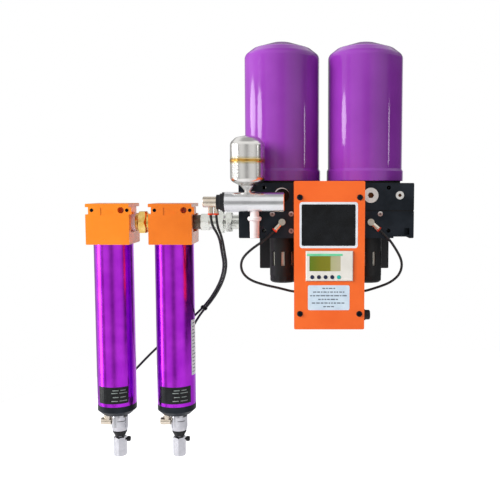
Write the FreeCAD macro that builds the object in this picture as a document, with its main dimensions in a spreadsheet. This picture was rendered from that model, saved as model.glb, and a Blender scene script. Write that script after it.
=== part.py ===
import FreeCAD, Part
import math
import os
import Sketcher
from types import SimpleNamespace

# A wall-mounted desiccant air dryer: two spin-on canisters on a valve manifold, a control box,
# two exhaust mufflers, a zero-loss drain and two prefilters piped in line on its left.
# Frame: origin on the wall at the centre of the four mounting holes, +X right, +Z up,
# the wall at Y = 0 and the front towards -Y. "Depth" is the distance from the wall.

SIZES = {
    # Wall bracket and mounting holes
    "bracket_width": 228.0,
    "bracket_thickness": 4.0,
    "bracket_drop": 62.0,
    "bracket_corner": 2.0,
    "mount_spacing_x": 197.4,
    "mount_spacing_z": 68.0,
    "mount_hole_radius": 3.3,
    # Manifold of two blocks with a gasket in the seam
    "manifold_width": 278.0,
    "manifold_depth": 124.0,
    "manifold_top": 41.5,
    "manifold_bottom": 46.0,
    "seam_drop": 2.5,
    "seam_gasket": 1.5,
    "seam_gasket_inset": 0.6,
    "manifold_chamfer": 1.2,
    "passage_radius": 9.0,
    "passage_offset": 40.0,
    "line_drop": 23.2,
    "slot_left": 124.0,
    "slot_width": 8.0,
    "slot_top_drop": 30.0,
    "slot_height": 10.5,
    "slot_depth": 12.0,
    "step_left": 107.0,
    "step_height": 2.4,
    # Plugs in the manifold's front
    "port_spacing": 141.2,
    "port_lift": 22.0,
    "port_plug_radius": 12.0,
    "port_plug_length": 12.0,
    "port_plug_recess": 0.4,
    "port_plug_socket": 5.0,
    "end_plug_spacing": 233.0,
    "end_plug_radius": 6.5,
    "end_plug_length": 9.0,
    "end_plug_socket": 2.9,
    "gallery_inner_spacing": 111.4,
    "gallery_outer_spacing": 171.4,
    "gallery_upper_drop": 7.5,
    "gallery_lower_drop": 34.6,
    "gallery_plug_radius": 4.0,
    "gallery_plug_length": 6.0,
    "gallery_plug_socket": 1.8,
    "plug_socket_depth": 4.0,
    "thread_clearance": 0.1,
    # Spin-on canisters
    "canister_spacing": 137.2,
    "canister_shift": 3.1,
    "canister_radius": 61.3,
    "canister_wall": 2.2,
    "canister_top": 269.3,
    "crown_radius": 16.5,
    "dome_radius": 47.0,
    "dome_drop": 9.9,
    "shoulder_drop": 21.1,
    "shoulder_round": 11.0,
    "rim_height": 16.0,
    "rim_swell": 2.0,
    "rim_slope": 4.0,
    "canister_gasket": 3.5,
    "canister_gasket_outer": 59.0,
    "canister_gasket_inner": 51.0,
    "base_plate_thickness": 8.0,
    "base_hole_radius": 5.0,
    "base_hole_circle": 38.0,
    "base_holes": 8,
    "stud_radius": 16.0,
    "stud_bore": 11.0,
    "stud_depth": 20.0,
    "channel_inner": 30.0,
    "channel_outer": 46.0,
    "channel_depth": 10.0,
    "bed_room": 7.0,
    "bed_round": 12.0,
    "fit_clearance": 0.3,
    # Exhaust mufflers
    "muffler_spacing": 139.0,
    "muffler_depth": 93.0,
    "muffler_radius": 22.0,
    "muffler_wall": 3.0,
    "muffler_height": 63.0,
    "muffler_thread_radius": 10.0,
    "muffler_thread_length": 10.0,
    "muffler_bore": 6.0,
    "muffler_roof": 5.0,
    "muffler_slot_width": 5.0,
    "muffler_slot_height": 23.0,
    "muffler_slot_start": 23.0,
    "muffler_slots": 8,
    "muffler_cap_sides": 12,
    "muffler_cap_height": 11.0,
    "muffler_cap_lip": 6.0,
    "muffler_cap_taper": 3.0,
    "muffler_core_bore": 12.0,
    # Control box
    "box_offset": 3.0,
    "box_width": 106.7,
    "box_height": 225.0,
    "box_depth": 60.0,
    "box_lift": 44.0,
    "cover_wall": 1.2,
    "cover_skirt": 14.0,
    "cover_corner": 2.2,
    "tray_wall": 1.5,
    "tray_gap": 0.3,
    "lug_size": 15.0,
    "lug_depth": 9.0,
    "cover_screw_spacing_x": 90.0,
    "cover_screw_spacing_z": 176.4,
    "cover_screw_drop": 24.6,
    "cover_screw_shift": 0.6,
    "cover_screw_head_radius": 4.4,
    "cover_screw_head_height": 2.4,
    "cover_screw_radius": 2.0,
    "cover_screw_length": 8.0,
    "cover_screw_socket": 1.5,
    "screw_clearance": 0.3,
    # Controller seen through the cover
    "controller_offset": 0.1,
    "controller_width": 71.2,
    "controller_face_height": 45.4,
    "controller_face_drop": 127.8,
    "controller_body_height": 90.0,
    "controller_body_depth": 43.0,
    "controller_proud": 2.5,
    "controller_edge": 1.0,
    "window_gap": 0.4,
    "screen_offset": -6.6,
    "screen_lift": 3.7,
    "screen_width": 47.0,
    "screen_height": 23.0,
    "screen_recess": 1.2,
    "screen_thickness": 0.9,
    "button_radius": 2.8,
    "button_pitch": 10.05,
    "button_first": 25.9,
    "button_drop": 16.8,
    "button_length": 4.0,
    "button_proud": 0.8,
    "button_room": 1.3,
    "button_clearance": 0.3,
    # Cable gland on the box's right side
    "gland_drop": 208.0,
    "gland_depth": 28.0,
    "gland_thread_radius": 6.0,
    "gland_hex_radius": 9.2,
    "gland_hex_length": 5.5,
    "gland_nut_radius": 7.6,
    "gland_nut_length": 7.5,
    "gland_bore": 3.5,
    # Solenoid valves and tube fittings
    "valve_drop": 178.0,
    "valve_width": 18.0,
    "valve_height": 16.0,
    "valve_depth": 26.0,
    "valve_port_inset": 4.7,
    "valve_stem_radius": 4.5,
    "valve_coil_height": 24.0,
    "pilot_drop": 20.0,
    "pilot_spacing": 140.0,
    "elbow_stem_radius": 4.0,
    "elbow_stem_length": 7.0,
    "elbow_head_radius": 5.4,
    "elbow_head_length": 12.0,
    "elbow_barrel_level": 7.0,
    "elbow_barrel_radius": 3.9,
    "elbow_barrel_length": 16.0,
    "collar_radius": 4.3,
    "collar_length": 2.6,
    "tube_radius": 2.0,
    "tube_clearance": 0.15,
    "tube_insert": 6.0,
    "tube_end_gap": 0.5,
    "tube_lead": 24.0,
    "box_elbow_spacing": 36.0,
    # Zero-loss drain in front of the manifold
    "drain_depth": 151.0,
    "drain_lift": 11.8,
    "drain_right": 65.6,
    "drain_length": 93.1,
    "drain_radius": 15.5,
    "drain_round": 1.0,
    "drain_boss_radius": 7.0,
    "drain_boss_offset": 30.0,
    "drain_ring_length": 12.2,
    "drain_ring_radius": 15.2,
    "drain_ring_small": 11.4,
    "drain_spigot_radius": 8.5,
    "drain_spigot_length": 21.0,
    "drain_spigot_bore": 5.0,
    "vessel_offset": 56.9,
    "vessel_radius": 26.8,
    "vessel_top": 114.4,
    "vessel_shoulder": 102.4,
    "vessel_crown": 18.0,
    "vessel_crown_drop": 3.4,
    "vessel_side_bottom": 44.3,
    "vessel_cone_top": 37.0,
    "vessel_cone_radius": 11.4,
    "vessel_neck_radius": 5.3,
    "vessel_neck_top": 29.5,
    "vessel_neck_seat": 4.0,
    "vessel_round": 9.0,
    "weld_level": 75.3,
    "weld_width": 6.0,
    "weld_height": 0.5,
    "outlet_offset": 46.6,
    "outlet_neck_radius": 7.0,
    "outlet_neck_length": 7.0,
    "outlet_flange_radius": 10.8,
    "outlet_flange_length": 6.6,
    "outlet_barrel_radius": 7.6,
    "outlet_tip_radius": 7.0,
    "outlet_length": 40.0,
    "outlet_bore": 4.5,
    "outlet_seat": 4.0,
    "drain_elbow_first": 0.7,
    "drain_elbow_pitch": 8.8,
    "drain_elbow_radius": 3.6,
    "drain_elbow_length": 9.0,
    # Prefilters
    "head_width": 71.0,
    "head_depth": 72.0,
    "head_top": 8.0,
    "head_bottom": 58.7,
    "head_chamfer": 0.8,
    "notch_width": 4.8,
    "notch_top": 2.5,
    "notch_bottom": 9.2,
    "ear_reach": 4.2,
    "ear_depth": 20.0,
    "recess_height": 31.0,
    "recess_width": 46.0,
    "recess_depth": 5.0,
    "line_port_radius": 12.1,
    "line_port_length": 16.0,
    "head_screw_left": 24.9,
    "head_screw_right": 32.5,
    "head_screw_drop": 2.5,
    "head_screw_radius": 2.9,
    "head_screw_length": 6.0,
    "head_screw_recess": 0.5,
    "head_screw_socket": 1.0,
    "head_hole_right": 22.3,
    "head_hole_radius": 5.1,
    "head_hole_depth": 14.0,
    "arrow_left": 10.7,
    "arrow_tip": 10.9,
    "arrow_top": 1.8,
    "arrow_bottom": 10.6,
    "arrow_depth": 0.8,
    "filter_radius": 32.5,
    "filter_wall": 2.8,
    "filter_length": 273.1,
    "filter_thread_length": 9.0,
    "filter_thread_depth": 11.0,
    "element_radius": 20.0,
    "element_bore": 12.0,
    "element_length": 235.0,
    "cap_straight": 10.0,
    "cap_height": 17.9,
    "cap_bottom_radius": 24.0,
    "cap_plug_length": 10.0,
    "drain_shift": 3.4,
    "seal_groove_radius": 1.3,
    "seal_level": 5.0,
    "drain_port_radius": 9.0,
    "float_body_radius": 14.0,
    "float_body_neck": 12.5,
    "float_body_length": 30.0,
    "float_thread_length": 8.0,
    "float_collar_length": 10.0,
    "float_collar_top": 12.0,
    "float_collar_bottom": 8.5,
    "float_collar_bore": 4.0,
    "float_stem_radius": 3.7,
    "drain_nut_gap": 2.0,
    "drain_nut_radius": 11.6,
    "drain_nut_length": 33.0,
    "drain_nut_bore": 4.0,
    "drain_nut_bevel": 2.0,
    "drain_nut_facing": 1.0,
    "knob_level": 4.5,
    "knob_reach": 11.3,
    "knob_pin_length": 6.2,
    "knob_length": 6.4,
    "knob_radius": 4.4,
    "knob_pin_radius": 1.6,
    "knob_lobes": 6,
    "knob_lobe_radius": 1.1,
    "elbow_nut_offset": 17.2,
    "elbow_nut_radius": 5.8,
    "elbow_nut_length": 9.1,
    "elbow_pipe_radius": 6.2,
    "elbow_pipe_reach": 28.0,
    "elbow_socket_radius": 4.4,
    "elbow_socket_offset": 25.0,
    "elbow_socket_length": 5.0,
    # Pipe line between the filters and the manifold
    "pipe_radius": 12.5,
    "pipe_bore": 9.0,
    "nipple_length": 10.5,
    "tail_hex_radius": 15.6,
    "tail_hex_length": 14.4,
    "tail_neck_length": 12.4,
    "nut_radius": 21.0,
    "nut_length": 12.0,
    "nut_gap": 3.0,
    "adapter_hex_radius": 18.0,
    "adapter_hex_length": 10.6,
    "adapter_neck_length": 16.0,
    "union_gap": 31.0,
    "union_hex_radius": 20.6,
    "union_hex_length": 15.0,
    "union_hex_start": 8.0,
    "union_body_radius": 14.2,
    "port_ring_radius": 15.0,
    "port_ring_length": 9.0,
    # Tie round the two drain tubes
    "tie_width": 3.0,
    "tie_wall": 1.1,
    "tie_clearance": 0.3,
}

# Corner of a hexagon relative to its flat, and the turns that lay a piece's own Z along an axis
HALF_ROOT_THREE = math.sqrt(3.0) / 2.0
FULL_TURN = 360.0
TURNS = {
    "up": FreeCAD.Rotation(),
    "down": FreeCAD.Rotation(FreeCAD.Vector(1, 0, 0), 180),
    "front": FreeCAD.Rotation(FreeCAD.Vector(1, 0, 0), 90),
    "back": FreeCAD.Rotation(FreeCAD.Vector(1, 0, 0), -90),
    "right": FreeCAD.Rotation(FreeCAD.Vector(0, 1, 0), 90),
    "left": FreeCAD.Rotation(FreeCAD.Vector(0, 1, 0), -90),
}


class Size:
    """A number together with the sheet expression that gives it."""

    def __init__(self, number, text):
        self.number = number
        self.text = text

    def __add__(self, other):
        other = as_size(other)
        return Size(self.number + other.number, f"({self.text} + {other.text})")

    def __sub__(self, other):
        other = as_size(other)
        return Size(self.number - other.number, f"({self.text} - {other.text})")

    def __mul__(self, factor):
        factor = as_size(factor)
        return Size(self.number * factor.number, f"({self.text} * {factor.text})")

    def __truediv__(self, divisor):
        divisor = as_size(divisor)
        return Size(self.number / divisor.number, f"({self.text} / {divisor.text})")

    def __neg__(self):
        return Size(-self.number, f"(0 - {self.text})")

    def __radd__(self, other):
        return as_size(other) + self

    def __rsub__(self, other):
        return as_size(other) - self

    __rmul__ = __mul__


def as_size(value):
    return value if isinstance(value, Size) else Size(float(value), f"({float(value)})")


doc = FreeCAD.newDocument("desiccant_air_dryer")
sheet = doc.addObject("Spreadsheet::Sheet", "Sizes")
for row, (alias, number) in enumerate(SIZES.items(), start=1):
    sheet.set(f"A{row}", alias)
    sheet.set(f"B{row}", str(number))
    sheet.setAlias(f"B{row}", alias)
doc.recompute()
s = SimpleNamespace(**{alias: Size(float(number), f"Sizes.{alias}") for alias, number in SIZES.items()})


# Binding and placing

def bind(item, path, value):
    item.setExpression(path, as_size(value).text)


def place(item, turn="up", x=0, depth=0, z=0):
    """Puts a piece's own origin at a place in the frame, with its own Z along the named turn."""
    item.Placement = FreeCAD.Placement(FreeCAD.Vector(), TURNS[turn])
    bind(item, "Placement.Base.x", x)
    bind(item, "Placement.Base.y", -as_size(depth))
    bind(item, "Placement.Base.z", z)
    return item


# Sketches and the features made from them

def new_body(label, turn="up", x=0, depth=0, z=0):
    body = doc.addObject("PartDesign::Body", label)
    body.Label = label
    return place(body, turn, x, depth, z)


def new_sketch(body, name, plane="XY_Plane", offset=0):
    sketch = body.newObject("Sketcher::SketchObject", name)
    origin_plane = next(item for item in body.Origin.OriginFeatures if item.Role == plane)
    sketch.AttachmentSupport = [(origin_plane, "")]
    sketch.MapMode = "FlatFace"
    bind(sketch, "AttachmentOffset.Base.z", offset)
    return sketch


def hold_point(sketch, edge, end, x, y):
    """Ties a point of an edge to sheet sizes, measured from the sketch's own origin."""
    for kind, value in (("DistanceX", as_size(x)), ("DistanceY", as_size(y))):
        index = sketch.addConstraint(Sketcher.Constraint(kind, -1, 1, edge, end, value.number))
        sketch.setExpression(f"Constraints[{index}]", value.text)


def outline(sketch, corners):
    """Closed outline of straight edges through the given corners."""
    corners = [(as_size(x), as_size(y)) for x, y in corners]
    points = [FreeCAD.Vector(x.number, y.number, 0) for x, y in corners]
    first, count = sketch.GeometryCount, len(points)
    for index in range(count):
        sketch.addGeometry(Part.LineSegment(points[index], points[(index + 1) % count]), False)
    for index in range(count):
        following = first + (index + 1) % count
        sketch.addConstraint(Sketcher.Constraint("Coincident", first + index, 2, following, 1))
    for index, (x, y) in enumerate(corners):
        hold_point(sketch, first + index, 1, x, y)
    return sketch


def rectangle(sketch, left, bottom, right, top):
    return outline(sketch, [(left, bottom), (right, bottom), (right, top), (left, top)])


def centred_rectangle(sketch, width, height, x=0, y=0):
    half_width, half_height = width / 2, height / 2
    return rectangle(sketch, x - half_width, y - half_height, x + half_width, y + half_height)


def hexagon(sketch, radius):
    """Hexagon with two flats parallel to the sketch's own vertical axis."""
    half, flat = radius * 0.5, radius * HALF_ROOT_THREE
    right = [(0, -radius), (flat, -half), (flat, half)]
    return outline(sketch, right + [(0, radius), (-flat, half), (-flat, -half)])


def circle(sketch, radius, x=0, y=0):
    radius, x, y = as_size(radius), as_size(x), as_size(y)
    centre = FreeCAD.Vector(x.number, y.number, 0)
    index = sketch.addGeometry(Part.Circle(centre, FreeCAD.Vector(0, 0, 1), radius.number), False)
    hold_point(sketch, index, 3, x, y)
    held = sketch.addConstraint(Sketcher.Constraint("Radius", index, radius.number))
    sketch.setExpression(f"Constraints[{held}]", radius.text)
    return sketch


def circles(sketch, radius, centres):
    for x, y in centres:
        circle(sketch, radius, x, y)
    return sketch


def add_feature(body, kind, sketch):
    sketch.Visibility = False
    feature = body.newObject(f"PartDesign::{kind}", f"{sketch.Name}_{kind.lower()}")
    feature.Profile = sketch
    return feature


def pad(body, sketch, length, reverse=False):
    feature = add_feature(body, "Pad", sketch)
    bind(feature, "Length", length)
    feature.Reversed = reverse
    return feature


def pocket(body, sketch, depth=None, reverse=False):
    """Cuts a sketch into the body, right through where no depth is given."""
    feature = add_feature(body, "Pocket", sketch)
    feature.Reversed = reverse
    if depth is None:
        feature.Type = "ThroughAll"
    else:
        bind(feature, "Length", depth)
    return feature


def spin(body, sketch, kind="Revolution"):
    feature = add_feature(body, kind, sketch)
    feature.ReferenceAxis = (sketch, ["V_Axis"])
    feature.Angle = FULL_TURN
    return feature


def polar_copies(body, feature, count):
    pattern = body.newObject("PartDesign::PolarPattern", f"{feature.Name}_ring")
    pattern.Originals = [feature]
    axis = next(item for item in body.Origin.OriginFeatures if item.Role == "Z_Axis")
    pattern.Axis = (axis, [""])
    pattern.Angle = FULL_TURN
    bind(pattern, "Occurrences", count)
    body.Tip = pattern
    return pattern


def mirrored_copy(body, feature, plane="YZ_Plane"):
    pattern = body.newObject("PartDesign::Mirrored", f"{feature.Name}_mirror")
    pattern.Originals = [feature]
    pattern.MirrorPlane = (next(item for item in body.Origin.OriginFeatures if item.Role == plane), [""])
    body.Tip = pattern
    return pattern


def dress(body, kind, size, chosen):
    """Fillets or chamfers the edges of the body that the test picks."""
    doc.recompute()
    base = body.Tip
    names = [f"Edge{number}" for number, edge in enumerate(base.Shape.Edges, start=1) if chosen(edge)]
    feature = body.newObject(f"PartDesign::{kind}", f"{body.Name}_{kind.lower()}")
    feature.Base = (base, names)
    bind(feature, "Radius" if kind == "Fillet" else "Size", size)
    body.Tip = feature
    return feature


def ring_edges(*rings):
    """Test for full round edges about the body's own Z, given as radius and level."""
    targets = [(as_size(radius).number, as_size(level).number) for radius, level in rings]

    def chosen(edge):
        curve = edge.Curve
        if not isinstance(curve, Part.Circle):
            return False
        return any(
            abs(curve.Radius - radius) < 0.01 and abs(curve.Center.z - level) < 0.01
            for radius, level in targets
        )
    return chosen


def edges_at(level):
    """Test for edges that lie at one level along the body's own Z."""
    level = as_size(level).number
    return lambda edge: all(abs(corner.Point.z - level) < 0.01 for corner in edge.Vertexes)


def straight_edges(axis, *points):
    """Test for straight edges along an axis that pass over the given points of the body's own XY plane."""
    targets = [(as_size(x).number, as_size(y).number) for x, y in points]

    def chosen(edge):
        if not isinstance(edge.Curve, Part.Line):
            return False
        start, end = edge.Vertexes[0].Point, edge.Vertexes[-1].Point
        if abs((end - start).normalize().dot(axis)) < 0.999:
            return False
        return any(abs(start.x - x) < 0.01 and abs(start.y - y) < 0.01 for x, y in targets)
    return chosen


def turned(label, profile, turn="up", x=0, depth=0, z=0):
    """Body of revolution: the profile lists radius and distance along the piece's own Z."""
    body = new_body(label, turn, x, depth, z)
    sketch = outline(new_sketch(body, f"{label}_profile", "XZ_Plane"), profile)
    spin(body, sketch)
    return body


# Plain solids and booleans

def cylinder(name, radius, height, turn="up", x=0, depth=0, z=0):
    item = doc.addObject("Part::Cylinder", name)
    bind(item, "Radius", radius)
    bind(item, "Height", height)
    return place(item, turn, x, depth, z)


def hex_prism(name, radius, height, turn="up", x=0, depth=0, z=0):
    item = doc.addObject("Part::Prism", name)
    item.Polygon = 6
    bind(item, "Circumradius", radius)
    bind(item, "Height", height)
    return place(item, turn, x, depth, z)


def box(name, width, deep, height, x=0, depth=0, z=0):
    """Block whose front left lower corner stands at the given place, running back from it."""
    item = doc.addObject("Part::Box", name)
    bind(item, "Length", width)
    bind(item, "Width", deep)
    bind(item, "Height", height)
    return place(item, "up", x, depth, z)


def joined(name, items):
    item = doc.addObject("Part::MultiFuse", name)
    item.Shapes = items
    item.Refine = True
    return item


def cut(name, base, tool):
    item = doc.addObject("Part::Cut", name)
    item.Base = base
    item.Tool = tool
    item.Refine = True
    return item


def group(label, items):
    """Several separate solids that share one node."""
    item = doc.addObject("Part::Compound", label)
    item.Label = label
    item.Links = items
    return item


# Places that several pieces share

manifold_front = s.bracket_thickness + s.manifold_depth
line_depth = s.bracket_thickness + s.manifold_depth / 2
upper_seam = s.seam_gasket / 2 - s.seam_drop
lower_seam = -s.seam_drop - s.seam_gasket / 2
canister_base = s.manifold_top + s.canister_gasket
canister_inner = s.canister_radius - s.canister_wall
box_front = manifold_front + s.box_depth
box_centre = s.box_lift - s.box_height / 2
tray_width = s.box_width - (s.cover_wall + s.tray_gap) * 2
tray_height = s.box_height - (s.cover_wall + s.tray_gap) * 2
tray_depth = s.box_depth - s.cover_wall
chain_length = (
    s.adapter_neck_length + s.adapter_hex_length + s.nut_gap + s.nut_length
    + s.tail_neck_length + s.tail_hex_length + s.nipple_length
)
right_filter = -(s.manifold_width / 2 + chain_length + s.head_width / 2)
left_filter = right_filter - s.head_width - s.union_gap
drain_left = s.drain_right + s.drain_length
cap_level = s.head_bottom + s.filter_length
float_level = cap_level + s.cap_height
collar_level = float_level + s.float_body_length
drain_nut_level = collar_level + s.float_collar_length + s.drain_nut_gap
both_sides = (-1, 1)
canister_places = [(side * s.canister_spacing / 2 - s.canister_shift, line_depth) for side in both_sides]


# Wall bracket and manifold

def mount_holes(rows):
    half = s.mount_spacing_x / 2
    return [(side * half, row * s.mount_spacing_z / 2) for row in rows for side in both_sides]


def make_bracket():
    body = new_body("wall_bracket", "front")
    half, bottom = s.bracket_width / 2, -s.manifold_bottom - s.bracket_drop
    plate = rectangle(new_sketch(body, "bracket_outline"), -half, bottom, half, s.manifold_top)
    pad(body, plate, s.bracket_thickness)
    corners = [(side * half, bottom) for side in both_sides]
    dress(body, "Fillet", s.bracket_corner, straight_edges(FreeCAD.Vector(0, 0, 1), *corners))
    holes = new_sketch(body, "bracket_holes", offset=s.bracket_thickness)
    pocket(body, circles(holes, s.mount_hole_radius, mount_holes(both_sides)))
    return body


def make_top_block():
    body = new_body("manifold_top_block", "front")
    half = s.manifold_width / 2
    sketch = new_sketch(body, "top_block_outline", offset=s.bracket_thickness)
    pad(body, rectangle(sketch, -half, upper_seam, half, s.manifold_top), s.manifold_depth)
    corners = [(side * half, s.manifold_top) for side in both_sides]
    dress(body, "Chamfer", s.manifold_chamfer, straight_edges(FreeCAD.Vector(0, 0, 1), *corners))
    ports = new_sketch(body, "top_block_ports", offset=manifold_front)
    port_places = [(side * s.port_spacing / 2, s.port_lift) for side in both_sides]
    circles(ports, s.port_plug_radius + s.thread_clearance, port_places)
    pocket(body, ports, s.port_plug_length + s.port_plug_recess)
    ends = new_sketch(body, "top_block_end_ports", offset=manifold_front)
    end_places = [(side * s.end_plug_spacing / 2, s.port_lift) for side in both_sides]
    circles(ends, s.end_plug_radius + s.thread_clearance, end_places)
    pocket(body, ends, s.end_plug_length)
    holes = new_sketch(body, "top_block_mount_holes", offset=manifold_front)
    pocket(body, circles(holes, s.mount_hole_radius, mount_holes((1,))))
    seats = new_sketch(body, "stud_bores", "XZ_Plane", offset=-s.manifold_top)
    circles(seats, s.stud_radius + s.thread_clearance, canister_places)
    pocket(body, seats, s.stud_depth, reverse=True)
    channels = new_sketch(body, "inlet_channels", "XZ_Plane", offset=-s.manifold_top)
    circles(channels, s.channel_inner, canister_places)
    circles(channels, s.channel_outer, canister_places)
    pocket(body, channels, s.channel_depth, reverse=True)
    return body


def make_seam_gasket():
    body = new_body("manifold_gasket", "up", depth=line_depth, z=lower_seam)
    width = s.manifold_width - s.seam_gasket_inset * 2
    deep = s.manifold_depth - s.seam_gasket_inset * 2
    pad(body, centred_rectangle(new_sketch(body, "gasket_outline"), width, deep), s.seam_gasket)
    places = [(x, row * s.passage_offset) for x, _ in canister_places for row in both_sides]
    passages = new_sketch(body, "gasket_passages", offset=s.seam_gasket)
    pocket(body, circles(passages, s.passage_radius, places))
    return body


def gallery_places():
    inner, outer = s.gallery_inner_spacing / 2, s.gallery_outer_spacing / 2
    upper, lower = -s.gallery_upper_drop, -s.gallery_lower_drop
    return [(side * x, z) for side in both_sides for x, z in ((inner, upper), (inner, lower), (outer, upper))]


def make_valve_block():
    body = new_body("manifold_valve_block", "front")
    half, bottom = s.manifold_width / 2, -s.manifold_bottom
    slot_right = s.slot_left + s.slot_width
    step = bottom + s.step_height
    corners = [
        (-half, lower_seam), (-half, bottom), (s.step_left, bottom), (s.step_left, step),
        (slot_right, step), (slot_right, bottom), (half, bottom), (half, lower_seam),
    ]
    block = new_sketch(body, "valve_block_outline", offset=s.bracket_thickness)
    pad(body, outline(block, corners), s.manifold_depth)
    lower_corners = [(side * half, bottom) for side in both_sides]
    dress(body, "Chamfer", s.manifold_chamfer, straight_edges(FreeCAD.Vector(0, 0, 1), *lower_corners))
    slot = new_sketch(body, "end_slot", offset=manifold_front)
    slot_top = -s.slot_top_drop
    pocket(body, rectangle(slot, s.slot_left, slot_top - s.slot_height, slot_right, slot_top), s.slot_depth)
    galleries = new_sketch(body, "gallery_ports", offset=manifold_front)
    circles(galleries, s.gallery_plug_radius + s.thread_clearance, gallery_places())
    pocket(body, galleries, s.gallery_plug_length)
    pilots = new_sketch(body, "pilot_ports", offset=manifold_front)
    pilot_places = [(side * s.pilot_spacing / 2, -s.pilot_drop) for side in both_sides]
    circles(pilots, s.elbow_stem_radius + s.thread_clearance, pilot_places)
    pocket(body, pilots, s.elbow_stem_length)
    holes = new_sketch(body, "valve_block_mount_holes", offset=manifold_front)
    pocket(body, circles(holes, s.mount_hole_radius, mount_holes((-1,))))
    outlet = new_sketch(body, "line_port", "YZ_Plane", offset=half)
    circle(outlet, s.line_port_radius, -s.line_drop, line_depth)
    mirrored_copy(body, pocket(body, outlet, s.line_port_length))
    exhausts = new_sketch(body, "exhaust_ports", "XZ_Plane", offset=s.manifold_bottom)
    exhaust_places = [(side * s.muffler_spacing / 2, s.muffler_depth) for side in both_sides]
    circles(exhausts, s.muffler_thread_radius + s.thread_clearance, exhaust_places)
    pocket(body, exhausts, s.muffler_thread_length)
    return body


def socket_plug(name, radius, length, socket, x, front, z):
    """Threaded plug with a hexagon socket in its face."""
    barrel = cylinder(f"{name}_barrel", radius, length, "front", x, front - length, z)
    key = hex_prism(f"{name}_key", socket, s.plug_socket_depth, "front", x, front - s.plug_socket_depth, z)
    return cut(name, barrel, key)


def make_plugs():
    plugs = []
    for side, place_name in zip(both_sides, ("left", "right")):
        port_face = manifold_front - s.port_plug_recess
        plugs.append(socket_plug(
            f"port_plug_{place_name}", s.port_plug_radius, s.port_plug_length, s.port_plug_socket,
            side * s.port_spacing / 2, port_face, s.port_lift,
        ))
        plugs.append(socket_plug(
            f"end_plug_{place_name}", s.end_plug_radius, s.end_plug_length, s.end_plug_socket,
            side * s.end_plug_spacing / 2, manifold_front, s.port_lift,
        ))
    for number, (x, z) in enumerate(gallery_places(), start=1):
        plugs.append(socket_plug(
            f"gallery_plug_{number}", s.gallery_plug_radius, s.gallery_plug_length, s.gallery_plug_socket,
            x, manifold_front, z,
        ))
    return group("port_plugs", plugs)


# Canisters

def make_canister_shell(label, x):
    """Deep drawn can: a rolled rim, a straight wall, and a domed end with a flat crown."""
    outer, inner, rim = s.canister_radius, canister_inner, s.canister_radius + s.rim_swell
    top = s.canister_top - canister_base
    shoulder, dome = top - s.shoulder_drop, top - s.dome_drop
    wall = s.canister_wall
    profile = [
        (inner, 0), (rim, 0), (rim, s.rim_height), (outer, s.rim_height + s.rim_slope),
        (outer, shoulder), (s.dome_radius, dome), (s.crown_radius, top), (0, top), (0, top - wall),
        (s.crown_radius, top - wall), (s.dome_radius - wall / 2, dome - wall), (inner, shoulder - wall),
    ]
    body = turned(label, profile, "up", x, line_depth, canister_base)
    dress(body, "Fillet", s.shoulder_round, ring_edges((outer, shoulder), (s.dome_radius, dome)))
    dress(body, "Fillet", s.rim_swell * 0.6, ring_edges((rim, 0), (rim, s.rim_height)))
    return body


def make_base_plate(name, x):
    """Seaming plate: a threaded centre hole for the stud and a ring of inlet holes."""
    radius = canister_inner - s.thread_clearance
    body = new_body(name, "up", x, line_depth, canister_base)
    plate = new_sketch(body, f"{name}_outline")
    circle(plate, radius)
    circle(plate, s.stud_radius + s.thread_clearance)
    pad(body, plate, s.base_plate_thickness)
    hole = new_sketch(body, f"{name}_hole", offset=s.base_plate_thickness)
    drilled = pocket(body, circle(hole, s.base_hole_radius, s.base_hole_circle, 0))
    polar_copies(body, drilled, s.base_holes)
    return body


def make_ring(name, outer, inner, height, turn, x, depth, z):
    return turned(name, [(inner, 0), (outer, 0), (outer, height), (inner, height)], turn, x, depth, z)


def make_stud(name, x):
    """Hollow threaded stud that carries a canister."""
    length = s.stud_depth + s.canister_gasket + s.base_plate_thickness
    start = s.manifold_top - s.stud_depth
    return make_ring(name, s.stud_radius, s.stud_bore, length, "up", x, line_depth, start)


def make_bed(name, x):
    """Desiccant bed: fills the canister from its base plate to a plenum below the shoulder."""
    radius = canister_inner - s.fit_clearance
    base = canister_base + s.base_plate_thickness
    height = s.canister_top - s.shoulder_drop - s.canister_wall - s.bed_room - base
    body = turned(name, [(0, 0), (radius, 0), (radius, height), (0, height)], "up", x, line_depth, base)
    dress(body, "Fillet", s.bed_round, ring_edges((radius, height)))
    return body


def make_canisters():
    places = [(side, x) for side, (x, _) in zip(("left", "right"), canister_places)]
    shells = [make_canister_shell(f"canister_{side}_shell", x) for side, x in places]
    outer, inner, height = s.canister_gasket_outer, s.canister_gasket_inner, s.canister_gasket
    gaskets = [
        make_ring(f"canister_gasket_{side}", outer, inner, height, "up", x, line_depth, s.manifold_top)
        for side, x in places
    ]
    return shells + [
        group("canister_base_plates", [make_base_plate(f"base_plate_{side}", x) for side, x in places]),
        group("canister_gaskets", gaskets),
        group("canister_studs", [make_stud(f"stud_{side}", x) for side, x in places]),
        group("desiccant_beds", [make_bed(f"bed_{side}", x) for side, x in places]),
    ]


# Exhaust mufflers

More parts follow.
